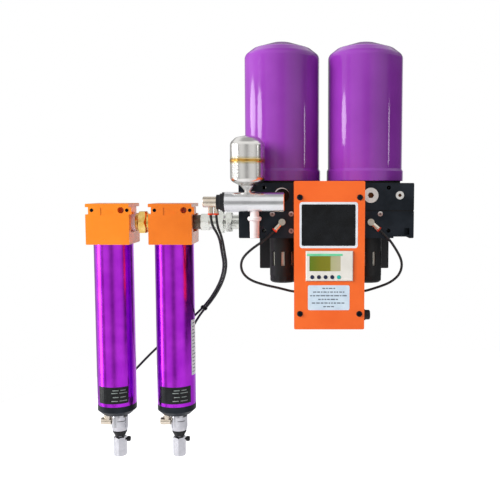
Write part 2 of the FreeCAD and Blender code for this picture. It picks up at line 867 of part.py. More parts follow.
def make_muffler(label, x, first_slot):
    """Moulded housing with slots round it and a threaded spigot, turned so far once screwed in."""
    radius, inner = s.muffler_radius, s.muffler_radius - s.muffler_wall
    length = s.muffler_height
    profile = [
        (s.muffler_bore, -s.muffler_thread_length), (s.muffler_thread_radius, -s.muffler_thread_length),
        (s.muffler_thread_radius, 0), (radius, 0), (radius, length), (inner, length),
        (inner, s.muffler_roof), (s.muffler_bore, s.muffler_roof),
    ]
    body = turned(label, profile, "down", x, s.muffler_depth, -s.manifold_bottom)
    slot = new_sketch(body, f"{label}_slot", "XZ_Plane")
    bottom, half = s.muffler_slot_start, s.muffler_slot_width / 2
    rectangle(slot, -half, bottom, half, bottom + s.muffler_slot_height)
    polar_copies(body, pocket(body, slot, s.muffler_radius + s.muffler_wall), s.muffler_slots)
    body.Placement.Rotation = TURNS["down"] * FreeCAD.Rotation(FreeCAD.Vector(0, 0, 1), first_slot)
    return body


def make_muffler_cap(name, x):
    """Many-sided cap whose lip stands in the housing and whose sides taper to the bottom."""
    radius = s.muffler_radius - s.muffler_wall - s.thread_clearance
    body = new_body(name, "down", x, s.muffler_depth, -s.manifold_bottom - s.muffler_height)
    lip = new_sketch(body, f"{name}_lip")
    circle(lip, radius)
    circle(lip, radius - s.muffler_wall)
    pad(body, lip, s.muffler_cap_lip, reverse=True)
    sides = round(s.muffler_cap_sides.number)
    turns = [2 * math.pi * (number + 0.5) / sides for number in range(sides)]
    corners = [(s.muffler_radius * math.cos(turn), s.muffler_radius * math.sin(turn)) for turn in turns]
    pad(body, outline(new_sketch(body, f"{name}_sides"), corners), s.muffler_cap_height)
    dress(body, "Chamfer", s.muffler_cap_taper, edges_at(s.muffler_cap_height))
    return body


def make_mufflers():
    places = [(name, side * s.muffler_spacing / 2) for name, side in zip(("left", "right"), both_sides)]
    turns = (0, FULL_TURN / s.muffler_slots.number / 2)
    housings = [make_muffler(f"muffler_{side}", x, turn) for (side, x), turn in zip(places, turns)]
    caps = group("muffler_caps", [make_muffler_cap(f"muffler_cap_{side}", x) for side, x in places])
    core_length = s.muffler_height - s.muffler_roof - s.muffler_cap_lip
    core_radius = s.muffler_radius - s.muffler_wall - s.fit_clearance
    cores = group("muffler_cores", [
        make_ring(f"muffler_core_{side}", core_radius, s.muffler_core_bore, core_length,
                  "down", x, s.muffler_depth, -s.manifold_bottom - s.muffler_roof)
        for side, x in places
    ])
    return housings + [caps, cores]


# Control box

def cover_screw_places():
    level = s.box_height / 2 - s.cover_screw_drop
    x = s.cover_screw_spacing_x / 2
    rows = (level, level - s.cover_screw_spacing_z)
    return [(side * x + s.cover_screw_shift, z) for z in rows for side in both_sides]


def make_tray():
    """Folded tray against the manifold, with a lug in each corner for the cover's screws."""
    body = new_body("control_box_tray", "front", s.box_offset, manifold_front, box_centre)
    pad(body, centred_rectangle(new_sketch(body, "tray_outline"), tray_width, tray_height), tray_depth)
    inner_width, inner_height = tray_width - s.tray_wall * 2, tray_height - s.tray_wall * 2
    inside = centred_rectangle(new_sketch(body, "tray_inside", offset=tray_depth), inner_width, inner_height)
    pocket(body, inside, tray_depth - s.tray_wall)
    lugs = new_sketch(body, "tray_lugs", offset=tray_depth - s.lug_depth)
    for x, z in cover_screw_places():
        reach = inner_width / 2 if x.number > 0 else -inner_width / 2
        inner_edge = x - s.lug_size / 2 if x.number > 0 else x + s.lug_size / 2
        left, right = (inner_edge, reach) if x.number > 0 else (reach, inner_edge)
        rectangle(lugs, left, z - s.lug_size / 2, right, z + s.lug_size / 2)
    pad(body, lugs, s.lug_depth)
    threads = new_sketch(body, "lug_threads", offset=tray_depth)
    circles(threads, s.cover_screw_radius + s.thread_clearance, cover_screw_places())
    pocket(body, threads, s.lug_depth)
    entry = new_sketch(body, "cable_entry", "YZ_Plane", offset=tray_width / 2)
    circle(entry, s.gland_thread_radius + s.thread_clearance, s.box_height / 2 - s.gland_drop, s.gland_depth)
    pocket(body, entry, s.tray_wall)
    tubes = new_sketch(body, "tube_entries", offset=s.tray_wall)
    level = s.box_height / 2 - s.valve_drop
    places = [(side * s.box_elbow_spacing / 2, level) for side in both_sides]
    pocket(body, circles(tubes, s.elbow_stem_radius + s.thread_clearance, places))
    return body


def make_cover():
    """Shallow folded cover whose skirts lap over the tray."""
    body = new_body("control_box_cover", "front", s.box_offset, box_front - s.cover_skirt, box_centre)
    pad(body, centred_rectangle(new_sketch(body, "cover_outline"), s.box_width, s.box_height), s.cover_skirt)
    half_width, half_height = s.box_width / 2, s.box_height / 2
    corners = [(sx * half_width, sz * half_height) for sx in both_sides for sz in both_sides]
    dress(body, "Fillet", s.cover_corner, straight_edges(FreeCAD.Vector(0, 0, 1), *corners))
    inside = new_sketch(body, "cover_inside")
    centred_rectangle(inside, s.box_width - s.cover_wall * 2, s.box_height - s.cover_wall * 2)
    pocket(body, inside, s.cover_skirt - s.cover_wall, reverse=True)
    window = new_sketch(body, "controller_window", offset=s.cover_skirt)
    width, height = s.controller_width + s.window_gap * 2, s.controller_face_height + s.window_gap * 2
    level = s.box_height / 2 - s.controller_face_drop
    pocket(body, centred_rectangle(window, width, height, s.controller_offset, level))
    holes = new_sketch(body, "cover_screw_holes", offset=s.cover_skirt)
    pocket(body, circles(holes, s.cover_screw_radius + s.screw_clearance, cover_screw_places()))
    return body


def make_button_screw(name, x, z):
    """Button head screw: domed head on the cover, shank in the tray's lug, hexagon socket."""
    head, shank = s.cover_screw_head_radius, s.cover_screw_radius
    height, length = s.cover_screw_head_height, s.cover_screw_length
    profile = [
        (0, -length), (shank, -length), (shank, 0), (head, 0),
        (head, height * 0.4), (head * 0.6, height), (0, height),
    ]
    body = turned(name, profile, "front", s.box_offset + x, box_front, box_centre + z)
    key = new_sketch(body, f"{name}_socket", offset=height)
    pocket(body, hexagon(key, s.cover_screw_socket), height * 0.6)
    return body


def make_controller():
    """Rail-mounted controller: a deep body behind the cover and a face standing in its window."""
    face_level = box_centre + s.box_height / 2 - s.controller_face_drop
    x, back_depth = s.box_offset + s.controller_offset, manifold_front + s.tray_wall
    body = new_body("controller_module", "front", x, back_depth, face_level)
    front = s.box_depth - s.tray_wall + s.controller_proud
    back = centred_rectangle(new_sketch(body, "module_body"), s.controller_width, s.controller_body_height)
    pad(body, back, s.controller_body_depth)
    nose = new_sketch(body, "module_face", offset=s.controller_body_depth)
    centred_rectangle(nose, s.controller_width, s.controller_face_height)
    pad(body, nose, front - s.controller_body_depth)
    dress(body, "Chamfer", s.controller_edge, edges_at(front))
    screen = new_sketch(body, "screen_recess", offset=front)
    centred_rectangle(screen, s.screen_width, s.screen_height, s.screen_offset, s.screen_lift)
    pocket(body, screen, s.screen_recess)
    wells = new_sketch(body, "button_wells", offset=front)
    circles(wells, s.button_radius + s.button_clearance, [(x, -s.button_drop) for x in button_places()])
    pocket(body, wells, s.button_length - s.button_proud + s.button_room)
    screen_depth = box_front + s.controller_proud - s.screen_recess
    screen_level = face_level + s.screen_lift
    screen_plate = new_body("controller_screen", "front", x + s.screen_offset, screen_depth, screen_level)
    plate = new_sketch(screen_plate, "screen_outline")
    centred_rectangle(plate, s.screen_width - s.thread_clearance * 2, s.screen_height - s.thread_clearance * 2)
    pad(screen_plate, plate, s.screen_thickness)
    pieces = [body, screen_plate]
    for number, shift in enumerate(button_places(), start=1):
        pieces.append(make_button(f"controller_button_{number}", x + shift, face_level))
    return pieces


def button_places():
    return [number * s.button_pitch - s.button_first for number in range(5)]


def make_button(label, x, face_level):
    """Round key standing in its well, with a softened front edge."""
    start = box_front + s.controller_proud + s.button_proud - s.button_length
    body = turned(
        label, [(0, 0), (s.button_radius, 0), (s.button_radius, s.button_length), (0, s.button_length)],
        "front", x, start, face_level - s.button_drop,
    )
    dress(body, "Fillet", s.button_proud * 0.6, ring_edges((s.button_radius, s.button_length)))
    return body


def make_gland():
    """Cable gland: thread through the tray's side, hexagon, domed nut and a through bore."""
    side = s.box_offset + tray_width / 2
    body = new_body("cable_gland", "right", side, manifold_front + s.gland_depth, s.box_lift - s.gland_drop)
    pad(body, hexagon(new_sketch(body, "gland_hexagon"), s.gland_hex_radius), s.gland_hex_length)
    thread = new_sketch(body, "gland_thread")
    pad(body, circle(thread, s.gland_thread_radius), s.tray_wall * 3, reverse=True)
    nut = new_sketch(body, "gland_nut", offset=s.gland_hex_length)
    pad(body, circle(nut, s.gland_nut_radius), s.gland_nut_length)
    end = s.gland_hex_length + s.gland_nut_length
    dress(body, "Fillet", s.gland_nut_length / 3, ring_edges((s.gland_nut_radius, end)))
    bore = new_sketch(body, "gland_bore", offset=end)
    pocket(body, circle(bore, s.gland_bore))
    return body


def make_solenoid(name, x):
    """Pilot valve on the tray's back wall: a body, a stem and a coil round it."""
    depth = manifold_front + s.tray_wall + s.valve_depth
    port_level = s.box_lift - s.valve_drop
    level = port_level + s.valve_port_inset - s.valve_height
    left = x - s.valve_width / 2
    body = box(f"{name}_body", s.valve_width, s.valve_depth, s.valve_height, left, depth, level)
    coil_level = level - s.valve_coil_height
    coil_depth, coil_height = s.valve_depth * 0.8, s.valve_coil_height * 0.8
    coil = box(f"{name}_coil", s.valve_width, coil_depth, coil_height, left, depth, coil_level)
    centre = depth - s.valve_depth * 0.4
    stem = cylinder(f"{name}_stem", s.valve_stem_radius, s.valve_coil_height, "up", x, centre, coil_level)
    port = cylinder(f"{name}_port", s.elbow_stem_radius + s.thread_clearance, s.elbow_stem_length, "front",
                    x, manifold_front, port_level)
    return cut(name, joined(f"{name}_solid", [body, coil, stem]), port)


# Push-in tube fittings, whose barrels slope down by these angles on the left and right

PILOT_ANGLES = {-1: 48.0, 1: 41.0}


def barrel_turn(side, angle):
    """Turn that lays an elbow's barrel in its mounting plane, pointing out and down by the angle."""
    return FreeCAD.Rotation(FreeCAD.Vector(0, 1, 0), side * (90 + angle))


def aim(item, side, angle, x, depth, z):
    place(item, "up", x, depth, z)
    item.Placement.Rotation = barrel_turn(side, angle)
    return item


def along_barrel(side, angle, distance):
    """Shift in X and Z of a point along such a barrel."""
    turn = math.radians(angle)
    return side * distance * math.cos(turn), -distance * math.sin(turn)


def push_in_elbow(name, side, turn, angle, x, depth, z):
    """Swivel elbow: stem in the port, round head, and a barrel that takes the tube."""
    outward = 1 if turn == "front" else -1
    barrel_depth = depth + outward * s.elbow_barrel_level
    stem_start = depth - outward * s.elbow_stem_length
    stem = cylinder(f"{name}_stem", s.elbow_stem_radius, s.elbow_stem_length, turn, x, stem_start, z)
    head = cylinder(f"{name}_head", s.elbow_head_radius, s.elbow_head_length, turn, x, depth, z)
    barrel = cylinder(f"{name}_barrel", s.elbow_barrel_radius, s.elbow_barrel_length)
    aim(barrel, side, angle, x, barrel_depth, z)
    room = s.elbow_barrel_length - s.tube_insert
    shift_x, shift_z = along_barrel(side, angle, room)
    bore = cylinder(f"{name}_bore", s.tube_radius + s.tube_clearance, s.tube_insert)
    aim(bore, side, angle, x + shift_x, barrel_depth, z + shift_z)
    shift_x, shift_z = along_barrel(side, angle, s.elbow_barrel_length)
    collar = tube_collar(f"{name}_collar")
    aim(collar, side, angle, x + shift_x, barrel_depth, z + shift_z)
    return cut(name, joined(f"{name}_solid", [stem, head, barrel]), bore), collar


def tube_collar(name):
    """Release collar round the tube at the mouth of a fitting."""
    sleeve = cylinder(f"{name}_sleeve", s.collar_radius, s.collar_length)
    hole = cylinder(f"{name}_hole", s.tube_radius + s.tube_clearance, s.collar_length)
    return cut(name, sleeve, hole)


def make_pilot_fittings():
    elbows, collars = [], []
    valve_level = s.box_lift - s.valve_drop
    for side, name in zip(both_sides, ("left", "right")):
        port_x, valve_x = side * s.pilot_spacing / 2, s.box_offset + side * s.box_elbow_spacing / 2
        port = (f"port_elbow_{name}", side, "front", PILOT_ANGLES[side], port_x, manifold_front, -s.pilot_drop)
        valve = (f"box_elbow_{name}", side, "back", 0, valve_x, manifold_front, valve_level)
        fittings = [push_in_elbow(*port), push_in_elbow(*valve)]
        for elbow, collar in fittings:
            elbows.append(elbow)
            collars.append(collar)
    return elbows, collars


# Zero-loss drain

def make_drain_cylinder():
    """Drain valve's cylinder, lying along X, with a boss on its back that stands on the manifold."""
    body = new_body("drain_cylinder", "left", -s.drain_right, s.drain_depth, s.drain_lift)
    pad(body, circle(new_sketch(body, "cylinder_outline"), s.drain_radius), s.drain_length)
    dress(body, "Chamfer", s.drain_round, ring_edges((s.drain_radius, 0), (s.drain_radius, s.drain_length)))
    boss = new_sketch(body, "cylinder_boss", "XZ_Plane", offset=-(s.drain_depth - manifold_front))
    pad(body, circle(boss, s.drain_boss_radius, 0, s.drain_boss_offset), s.drain_depth - manifold_front)
    outlet = new_sketch(body, "outlet_seat", "YZ_Plane", offset=-s.drain_radius)
    circle(outlet, s.outlet_neck_radius + s.thread_clearance, 0, s.outlet_offset)
    pocket(body, outlet, s.outlet_seat, reverse=True)
    neck = new_sketch(body, "vessel_seat", "YZ_Plane", offset=s.drain_radius)
    circle(neck, s.vessel_neck_radius + s.thread_clearance, 0, s.vessel_offset)
    pocket(body, neck, s.vessel_neck_seat)
    return body


def make_drain_ring():
    """Black end ring: a flange against the cylinder and ribs stepping down to the spigot."""
    length, large, small = s.drain_ring_length, s.drain_ring_radius, s.drain_ring_small
    bore = s.drain_spigot_radius + s.thread_clearance
    step = length / 4
    middle = (large + small) / 2
    profile = [
        (0, 0), (large, 0), (large, step), (middle, step), (middle, step * 2),
        (small, step * 2.5), (small, length), (bore, length), (bore, step), (0, step),
    ]
    return turned("drain_end_ring", profile, "left", -drain_left, s.drain_depth, s.drain_lift)


def make_spigot():
    """Nickel spigot that stands in the end ring, with an open bore and a softened end."""
    start = drain_left + s.drain_ring_length / 4
    length = s.drain_spigot_length + s.drain_ring_length * 0.75
    radius, bore, chamfer = s.drain_spigot_radius, s.drain_spigot_bore, s.drain_round
    profile = [
        (0, 0), (radius, 0), (radius, length - chamfer), (radius - chamfer, length),
        (bore, length), (bore, length / 2), (0, length / 2),
    ]
    return turned("drain_spigot", profile, "left", -start, s.drain_depth, s.drain_lift)


def make_vessel():
    """Float vessel: two drawn halves with a weld bead between them, a cone and a neck below."""
    radius, weld = s.vessel_radius, s.weld_level
    half = s.weld_width / 2
    bead = radius + s.weld_height
    seat = s.drain_lift + s.drain_radius - s.vessel_neck_seat
    profile = [
        (0, seat), (s.vessel_neck_radius, seat), (s.vessel_neck_radius, s.vessel_neck_top),
        (s.vessel_cone_radius, s.vessel_cone_top), (radius, s.vessel_side_bottom),
        (radius, weld - half), (bead, weld - half / 2), (bead, weld + half / 2), (radius, weld + half),
        (radius, s.vessel_shoulder), (s.vessel_crown, s.vessel_top - s.vessel_crown_drop), (0, s.vessel_top),
    ]
    body = turned("float_vessel", profile, "up", -(s.drain_right + s.vessel_offset), s.drain_depth)
    crown = (s.vessel_crown, s.vessel_top - s.vessel_crown_drop)
    rings = ring_edges((radius, s.vessel_side_bottom), (radius, s.vessel_shoulder), crown)
    dress(body, "Fillet", s.vessel_round, rings)
    return body


def make_condensate_outlet():
    """White moulded outlet: neck in the cylinder, a hand nut and a tapered barrel with a bore."""
    neck, flange = s.outlet_neck_radius, s.outlet_flange_radius
    start, flange_end = s.outlet_neck_length, s.outlet_neck_length + s.outlet_flange_length
    edge = s.outlet_flange_length / 4
    profile = [
        (0, -s.outlet_seat), (neck, -s.outlet_seat), (neck, start),
        (flange - edge, start), (flange, start + edge), (flange, flange_end - edge),
        (flange - edge, flange_end), (s.outlet_barrel_radius, flange_end),
        (s.outlet_tip_radius, s.outlet_length), (s.outlet_bore, s.outlet_length), (s.outlet_bore, 0), (0, 0),
    ]
    x = -(s.drain_right + s.outlet_offset)
    return turned("condensate_outlet", profile, "down", x, s.drain_depth, s.drain_lift - s.drain_radius)


def make_drain_fittings():
    """Two straight push-in fittings under the end ring and the spigot, with a release collar on each."""
    fittings, collars = [], []
    ring_end, level = -(drain_left + s.drain_ring_length), s.drain_lift
    length = s.drain_spigot_radius + s.drain_elbow_length
    mouth = level - length
    for number in range(2):
        name = f"drain_fitting_{number}"
        x = ring_end - s.drain_elbow_first - number * s.drain_elbow_pitch
        barrel = cylinder(f"{name}_barrel", s.drain_elbow_radius, length, "down", x, s.drain_depth, level)
        reach = s.drain_elbow_radius * 2
        spigot_room = s.drain_spigot_radius + s.tube_clearance
        spigot = cylinder(f"{name}_seat", spigot_room, reach * 2, "left", x + reach, s.drain_depth, level)
        ring_room, ring_start = s.drain_ring_small + s.tube_clearance, ring_end - s.tube_clearance
        ring = cylinder(f"{name}_ring_room", ring_room, reach, "right", ring_start, s.drain_depth, level)
        bore_radius = s.tube_radius + s.tube_clearance
        bore = cylinder(f"{name}_bore", bore_radius, s.tube_insert, "up", x, s.drain_depth, mouth)
        fittings.append(cut(name, barrel, joined(f"{name}_rooms", [spigot, ring, bore])))
        collars.append(place(tube_collar(f"drain_collar_{number}"), "down", x, s.drain_depth, mouth))
    return fittings, collars


# Prefilters

def make_head(label, x):
    """Cast filter head: grooves down both sides, an ear in front, recessed line ports and a flow arrow."""
    back = line_depth - s.head_depth / 2
    body = new_body(label, "front", x, back)
    half, notch = s.head_width / 2, s.head_width / 2 - s.notch_width
    corners = [
        (-half, -s.head_bottom), (half, -s.head_bottom), (half, -s.notch_bottom), (notch, -s.notch_bottom),
        (notch, s.notch_top), (half, s.notch_top), (half, s.head_top), (-half, s.head_top),
        (-half, s.notch_top), (-notch, s.notch_top), (-notch, -s.notch_bottom), (-half, -s.notch_bottom),
    ]
    pad(body, outline(new_sketch(body, f"{label}_outline"), corners), s.head_depth)
    outer = [(side * half, z) for side in both_sides for z in (-s.head_bottom, s.head_top)]
    dress(body, "Chamfer", s.head_chamfer, straight_edges(FreeCAD.Vector(0, 0, 1), *outer))
    ear = new_sketch(body, f"{label}_ear", offset=s.head_depth)
    rectangle(ear, notch, -s.notch_bottom, half + s.ear_reach, s.notch_top)
    pad(body, ear, s.ear_depth, reverse=True)
    recess = new_sketch(body, f"{label}_recess", "YZ_Plane", offset=half)
    centred_rectangle(recess, s.recess_height, s.recess_width, -s.line_drop, s.head_depth / 2)
    mirrored_copy(body, pocket(body, recess, s.recess_depth))
    port = new_sketch(body, f"{label}_port", "YZ_Plane", offset=half - s.recess_depth)
    circle(port, s.line_port_radius + s.thread_clearance, -s.line_drop, s.head_depth / 2)
    mirrored_copy(body, pocket(body, port, s.line_port_length))
    bowl = new_sketch(body, f"{label}_bowl", "XZ_Plane", offset=s.head_bottom)
    circle(bowl, s.filter_radius - s.filter_wall / 2 + s.thread_clearance, 0, s.head_depth / 2)
    pocket(body, bowl, s.filter_thread_depth)
    screws = new_sketch(body, f"{label}_screw_holes", offset=s.head_depth)
    circles(screws, s.head_screw_radius + s.thread_clearance, head_screw_places())
    pocket(body, screws, s.head_screw_length + s.thread_clearance)
    hole = new_sketch(body, f"{label}_hole", offset=s.head_depth)
    pocket(body, circle(hole, s.head_hole_radius, s.head_hole_right, -s.head_screw_drop), s.head_hole_depth)
    arrow = new_sketch(body, f"{label}_arrow", offset=s.head_depth)
    middle = -(s.arrow_top + s.arrow_bottom) / 2
    outline(arrow, [(-s.arrow_left, -s.arrow_bottom), (s.arrow_tip, middle), (-s.arrow_left, s.arrow_top)])
    pocket(body, arrow, s.arrow_depth)
    return body


def head_screw_places():
    return [(-s.head_screw_left, -s.head_screw_drop), (s.head_screw_right, -s.head_screw_drop)]


def make_head_screws(filters):
    front = line_depth + s.head_depth / 2
    start, face = front - s.head_screw_length, front - s.head_screw_recess
    length, socket = s.head_screw_length - s.head_screw_recess, s.head_screw_socket
    screws = []
    for side, filter_x in filters:
        for number, (x, z) in enumerate(head_screw_places()):
            name = f"head_screw_{side}_{number}"
            shank = cylinder(f"{name}_shank", s.head_screw_radius, length, "front", filter_x + x, start, z)
            key = hex_prism(f"{name}_key", socket * 2, socket * 2, "front", filter_x + x, face - socket * 2, z)
            screws.append(cut(name, shank, key))
    return group("head_screws", screws)


def make_filter_tube(label, x):
    """Anodised tube with a turned-down thread that screws up into the head."""
    radius, wall, length = s.filter_radius, s.filter_wall, s.filter_length
    thread = radius - wall / 2
    profile = [
        (radius - wall, -s.filter_thread_length), (thread, -s.filter_thread_length), (thread, 0), (radius, 0),
        (radius, length), (radius - wall, length),
    ]
    return turned(label, profile, "down", x, line_depth, -s.head_bottom)


def make_element(name, x):
    start = s.head_bottom - s.filter_thread_depth
    return make_ring(name, s.element_radius, s.element_bore, s.element_length, "down", x, line_depth, -start)


def make_end_cap(name, x):
    """Chamfered black end cap: a plug with a seal groove stands in the tube, the drain's port off centre."""
    radius = s.filter_radius
    plug = radius - s.filter_wall - s.thread_clearance
    groove = plug - s.seal_groove_radius * 2
    level, half = -s.seal_level, s.seal_groove_radius
    profile = [
        (0, -s.cap_plug_length), (plug, -s.cap_plug_length), (plug, level - half),
        (groove, level - half), (groove, level + half), (plug, level + half), (plug, 0), (radius, 0),
        (radius, s.cap_straight), (s.cap_bottom_radius, s.cap_height), (0, s.cap_height),
    ]
    body = turned(name, profile, "down", x, line_depth, -cap_level)
    port = new_sketch(body, f"{name}_port", offset=s.cap_height)
    pocket(body, circle(port, s.drain_port_radius + s.thread_clearance, s.drain_shift, 0))
    return body


def make_seal(name, x):
    """Square-cut seal ring in the end cap's groove."""
    plug = s.filter_radius - s.filter_wall - s.thread_clearance
    inner = plug - s.seal_groove_radius * 2
    height = s.seal_groove_radius * 2
    level = s.seal_level + s.seal_groove_radius - cap_level
    return make_ring(name, plug, inner, height, "down", x, line_depth, level)


def make_float_body(name, x):
    """Chrome float drain body, swelling slightly between a thread above and the black collar below."""
    radius, neck, length = s.float_body_radius, s.float_body_neck, s.float_body_length
    profile = [
        (s.float_collar_bore, -s.float_thread_length), (s.drain_port_radius, -s.float_thread_length),
        (s.drain_port_radius, 0), (neck, 0), (radius, length * 0.2), (radius, length * 0.8), (neck, length),
        (s.float_collar_bore, length),
    ]
    body = turned(name, profile, "down", x, line_depth, -float_level)
    dress(body, "Fillet", s.float_collar_bore, ring_edges((radius, length * 0.2), (radius, length * 0.8)))
    return body


def make_float_collar(name, x):
    top, bottom, length = s.float_collar_top, s.float_collar_bottom, s.float_collar_length
    bore = s.float_collar_bore
    profile = [(bore, 0), (top, 0), (top, length * 0.3), (bottom, length), (bore, length)]
    return turned(name, profile, "down", x, line_depth, -collar_level)


def make_drain_valve(name, x):
    """Chrome hexagon valve body with chamfered ends, a stem into the collar and a knob's seat."""
    body = new_body(name, "down", x, line_depth, -drain_nut_level)
    length, radius, bore = s.drain_nut_length, s.drain_nut_radius, s.drain_nut_bore
    pad(body, hexagon(new_sketch(body, f"{name}_hexagon"), radius), length)
    flat = radius * HALF_ROOT_THREE
    bevel = new_sketch(body, f"{name}_bevel", "XZ_Plane")
    inner, outer, drop = flat - s.drain_nut_facing, radius + s.drain_nut_facing, s.drain_nut_bevel
    outline(bevel, [(inner, 0), (outer, 0), (outer, drop)])
    outline(bevel, [(inner, length), (outer, length), (outer, length - drop)])
    spin(body, bevel, "Groove")
    stem = new_sketch(body, f"{name}_stem")
    stem_length = s.float_collar_length + s.drain_nut_gap
    pad(body, circle(stem, s.float_stem_radius), stem_length, reverse=True)
    mouth = new_sketch(body, f"{name}_mouth", offset=length)
    pocket(body, circle(mouth, bore), length * 0.6)
    pin = new_sketch(body, f"{name}_knob_seat", "YZ_Plane", offset=outer)
    circle(pin, s.knob_pin_radius + s.button_clearance, 0, s.knob_level)
    pocket(body, pin, outer - s.knob_reach + s.knob_pin_length + s.button_clearance)
    return body


def make_knob(label, x):
    """Lobed bleed knob on a pin that turns in the valve's side."""
    body = new_body(label, "right", x + s.knob_reach, line_depth, -(drain_nut_level + s.knob_level))
    pad(body, circle(new_sketch(body, f"{label}_disc"), s.knob_radius), s.knob_length)
    dress(body, "Chamfer", s.knob_lobe_radius, ring_edges((s.knob_radius, 0), (s.knob_radius, s.knob_length)))
    flute = new_sketch(body, f"{label}_flute", offset=s.knob_length)
    cut_out = pocket(body, circle(flute, s.knob_lobe_radius, s.knob_radius + s.knob_lobe_radius * 0.3, 0))
    polar_copies(body, cut_out, s.knob_lobes)
    pin = new_sketch(body, f"{label}_pin")
    pad(body, circle(pin, s.knob_pin_radius), s.knob_pin_length, reverse=True)
    return body


def make_filter_elbow(name, x):
    """Elbow at the cap's lower left: a nut under the cap, a pipe to the left and a socket to the rear."""
    level = -(float_level + s.elbow_nut_length + s.elbow_pipe_radius)
    nut_length = s.elbow_nut_length + s.elbow_pipe_radius
    nut_x = x - s.elbow_nut_offset
    nut = cylinder(f"{name}_nut", s.elbow_nut_radius, nut_length, "down", nut_x, line_depth, -float_level)
    gap = s.float_body_radius + s.fit_clearance - s.drain_shift
    pipe_length = s.elbow_pipe_reach - gap
    pipe = cylinder(f"{name}_pipe", s.elbow_pipe_radius, pipe_length, "left", x - gap, line_depth, level)
    socket_x, socket_length = x - s.elbow_socket_offset, s.elbow_pipe_radius + s.elbow_socket_length
    socket_radius = s.elbow_socket_radius
    socket = cylinder(f"{name}_socket", socket_radius, socket_length, "back", socket_x, line_depth, level)
    bore_radius, bore_start = s.tube_radius + s.tube_clearance, line_depth - socket_length + s.tube_insert
    bore = cylinder(f"{name}_bore", bore_radius, s.tube_insert, "back", socket_x, bore_start, level)
    return cut(name, joined(f"{name}_solid", [nut, pipe, socket]), bore)


def make_filters():
    filters = [("left", left_filter), ("right", right_filter)]
    heads = [make_head(f"filter_{side}_head", x) for side, x in filters]
    tubes = [make_filter_tube(f"filter_{side}_tube", x) for side, x in filters]
    drains = [(side, x + s.drain_shift) for side, x in filters]
    knobs = [make_knob(f"drain_knob_{side}", x) for side, x in drains]
    return heads + tubes + knobs + [
        make_head_screws(filters),
        group("filter_elements", [make_element(f"element_{side}", x) for side, x in filters]),
        group("filter_end_caps", [make_end_cap(f"end_cap_{side}", x) for side, x in filters]),
        group("filter_seals", [make_seal(f"seal_{side}", x) for side, x in filters]),
        group("float_drain_bodies", [make_float_body(f"float_body_{side}", x) for side, x in drains]),
        group("float_drain_collars", [make_float_collar(f"float_collar_{side}", x) for side, x in drains]),
        group("drain_valves", [make_drain_valve(f"drain_valve_{side}", x) for side, x in drains]),
        group("filter_elbows", [make_filter_elbow(f"filter_elbow_{side}", x) for side, x in filters]),
    ]


# Pipe line

def pipe_piece(label, start, hex_radius, hex_start, hex_length, body_radius, length,
               thread_left=0, thread_right=0):
    """Bored pipe fitting along X with a chamfered hexagon on it; threads run past its ends."""
    body = new_body(label, "right", start, line_depth, -s.line_drop)
    barrel = new_sketch(body, f"{label}_barrel", offset=-as_size(thread_left))
    total = as_size(thread_left) + length + thread_right
    pad(body, circle(barrel, body_radius), total)
    if hex_radius is not None:
        pad(body, hexagon(new_sketch(body, f"{label}_hexagon", offset=hex_start), hex_radius), hex_length)
        flat = hex_radius * HALF_ROOT_THREE
        bevel = new_sketch(body, f"{label}_bevel", "XZ_Plane")
        far = as_size(hex_start) + hex_length
        reach = hex_radius - flat
        outer = hex_radius + reach
        outline(bevel, [(flat, hex_start), (outer, hex_start), (outer, hex_start + reach)])
        outline(bevel, [(flat, far), (outer, far), (outer, far - reach)])
        spin(body, bevel, "Groove")
    bore = new_sketch(body, f"{label}_bore", offset=as_size(length) + thread_right)
    pocket(body, circle(bore, s.pipe_bore))
    return body


def make_pipe_line():
    """From the right head to the manifold: nipple, union tail, union nut and adapter."""
    manifold_left = -s.manifold_width / 2
    neck = s.line_port_radius
    adapter_start = manifold_left - s.adapter_neck_length - s.adapter_hex_length - s.nut_gap
    thread = s.line_port_length - s.thread_clearance
    adapter = pipe_piece("union_adapter", adapter_start, s.adapter_hex_radius, s.nut_gap, s.adapter_hex_length,
                         neck - s.thread_clearance, s.nut_gap + s.adapter_hex_length + s.adapter_neck_length,
                         thread_right=thread)
    nut_start = adapter_start - s.nut_length
    nut = pipe_piece("union_nut", nut_start, s.nut_radius, 0, s.nut_length, s.pipe_radius, s.nut_length)
    tail_start = nut_start - s.tail_neck_length - s.tail_hex_length
    tail = pipe_piece("union_tail", tail_start, s.tail_hex_radius, 0, s.tail_hex_length,
                      s.pipe_radius, s.tail_hex_length + s.tail_neck_length)
    nipple_start = tail_start - s.nipple_length - s.recess_depth
    nipple = pipe_piece("pipe_nipple", nipple_start, None, 0, 0, neck, s.nipple_length + s.recess_depth,
                        thread_left=thread)
    return [adapter, nut, tail, nipple]


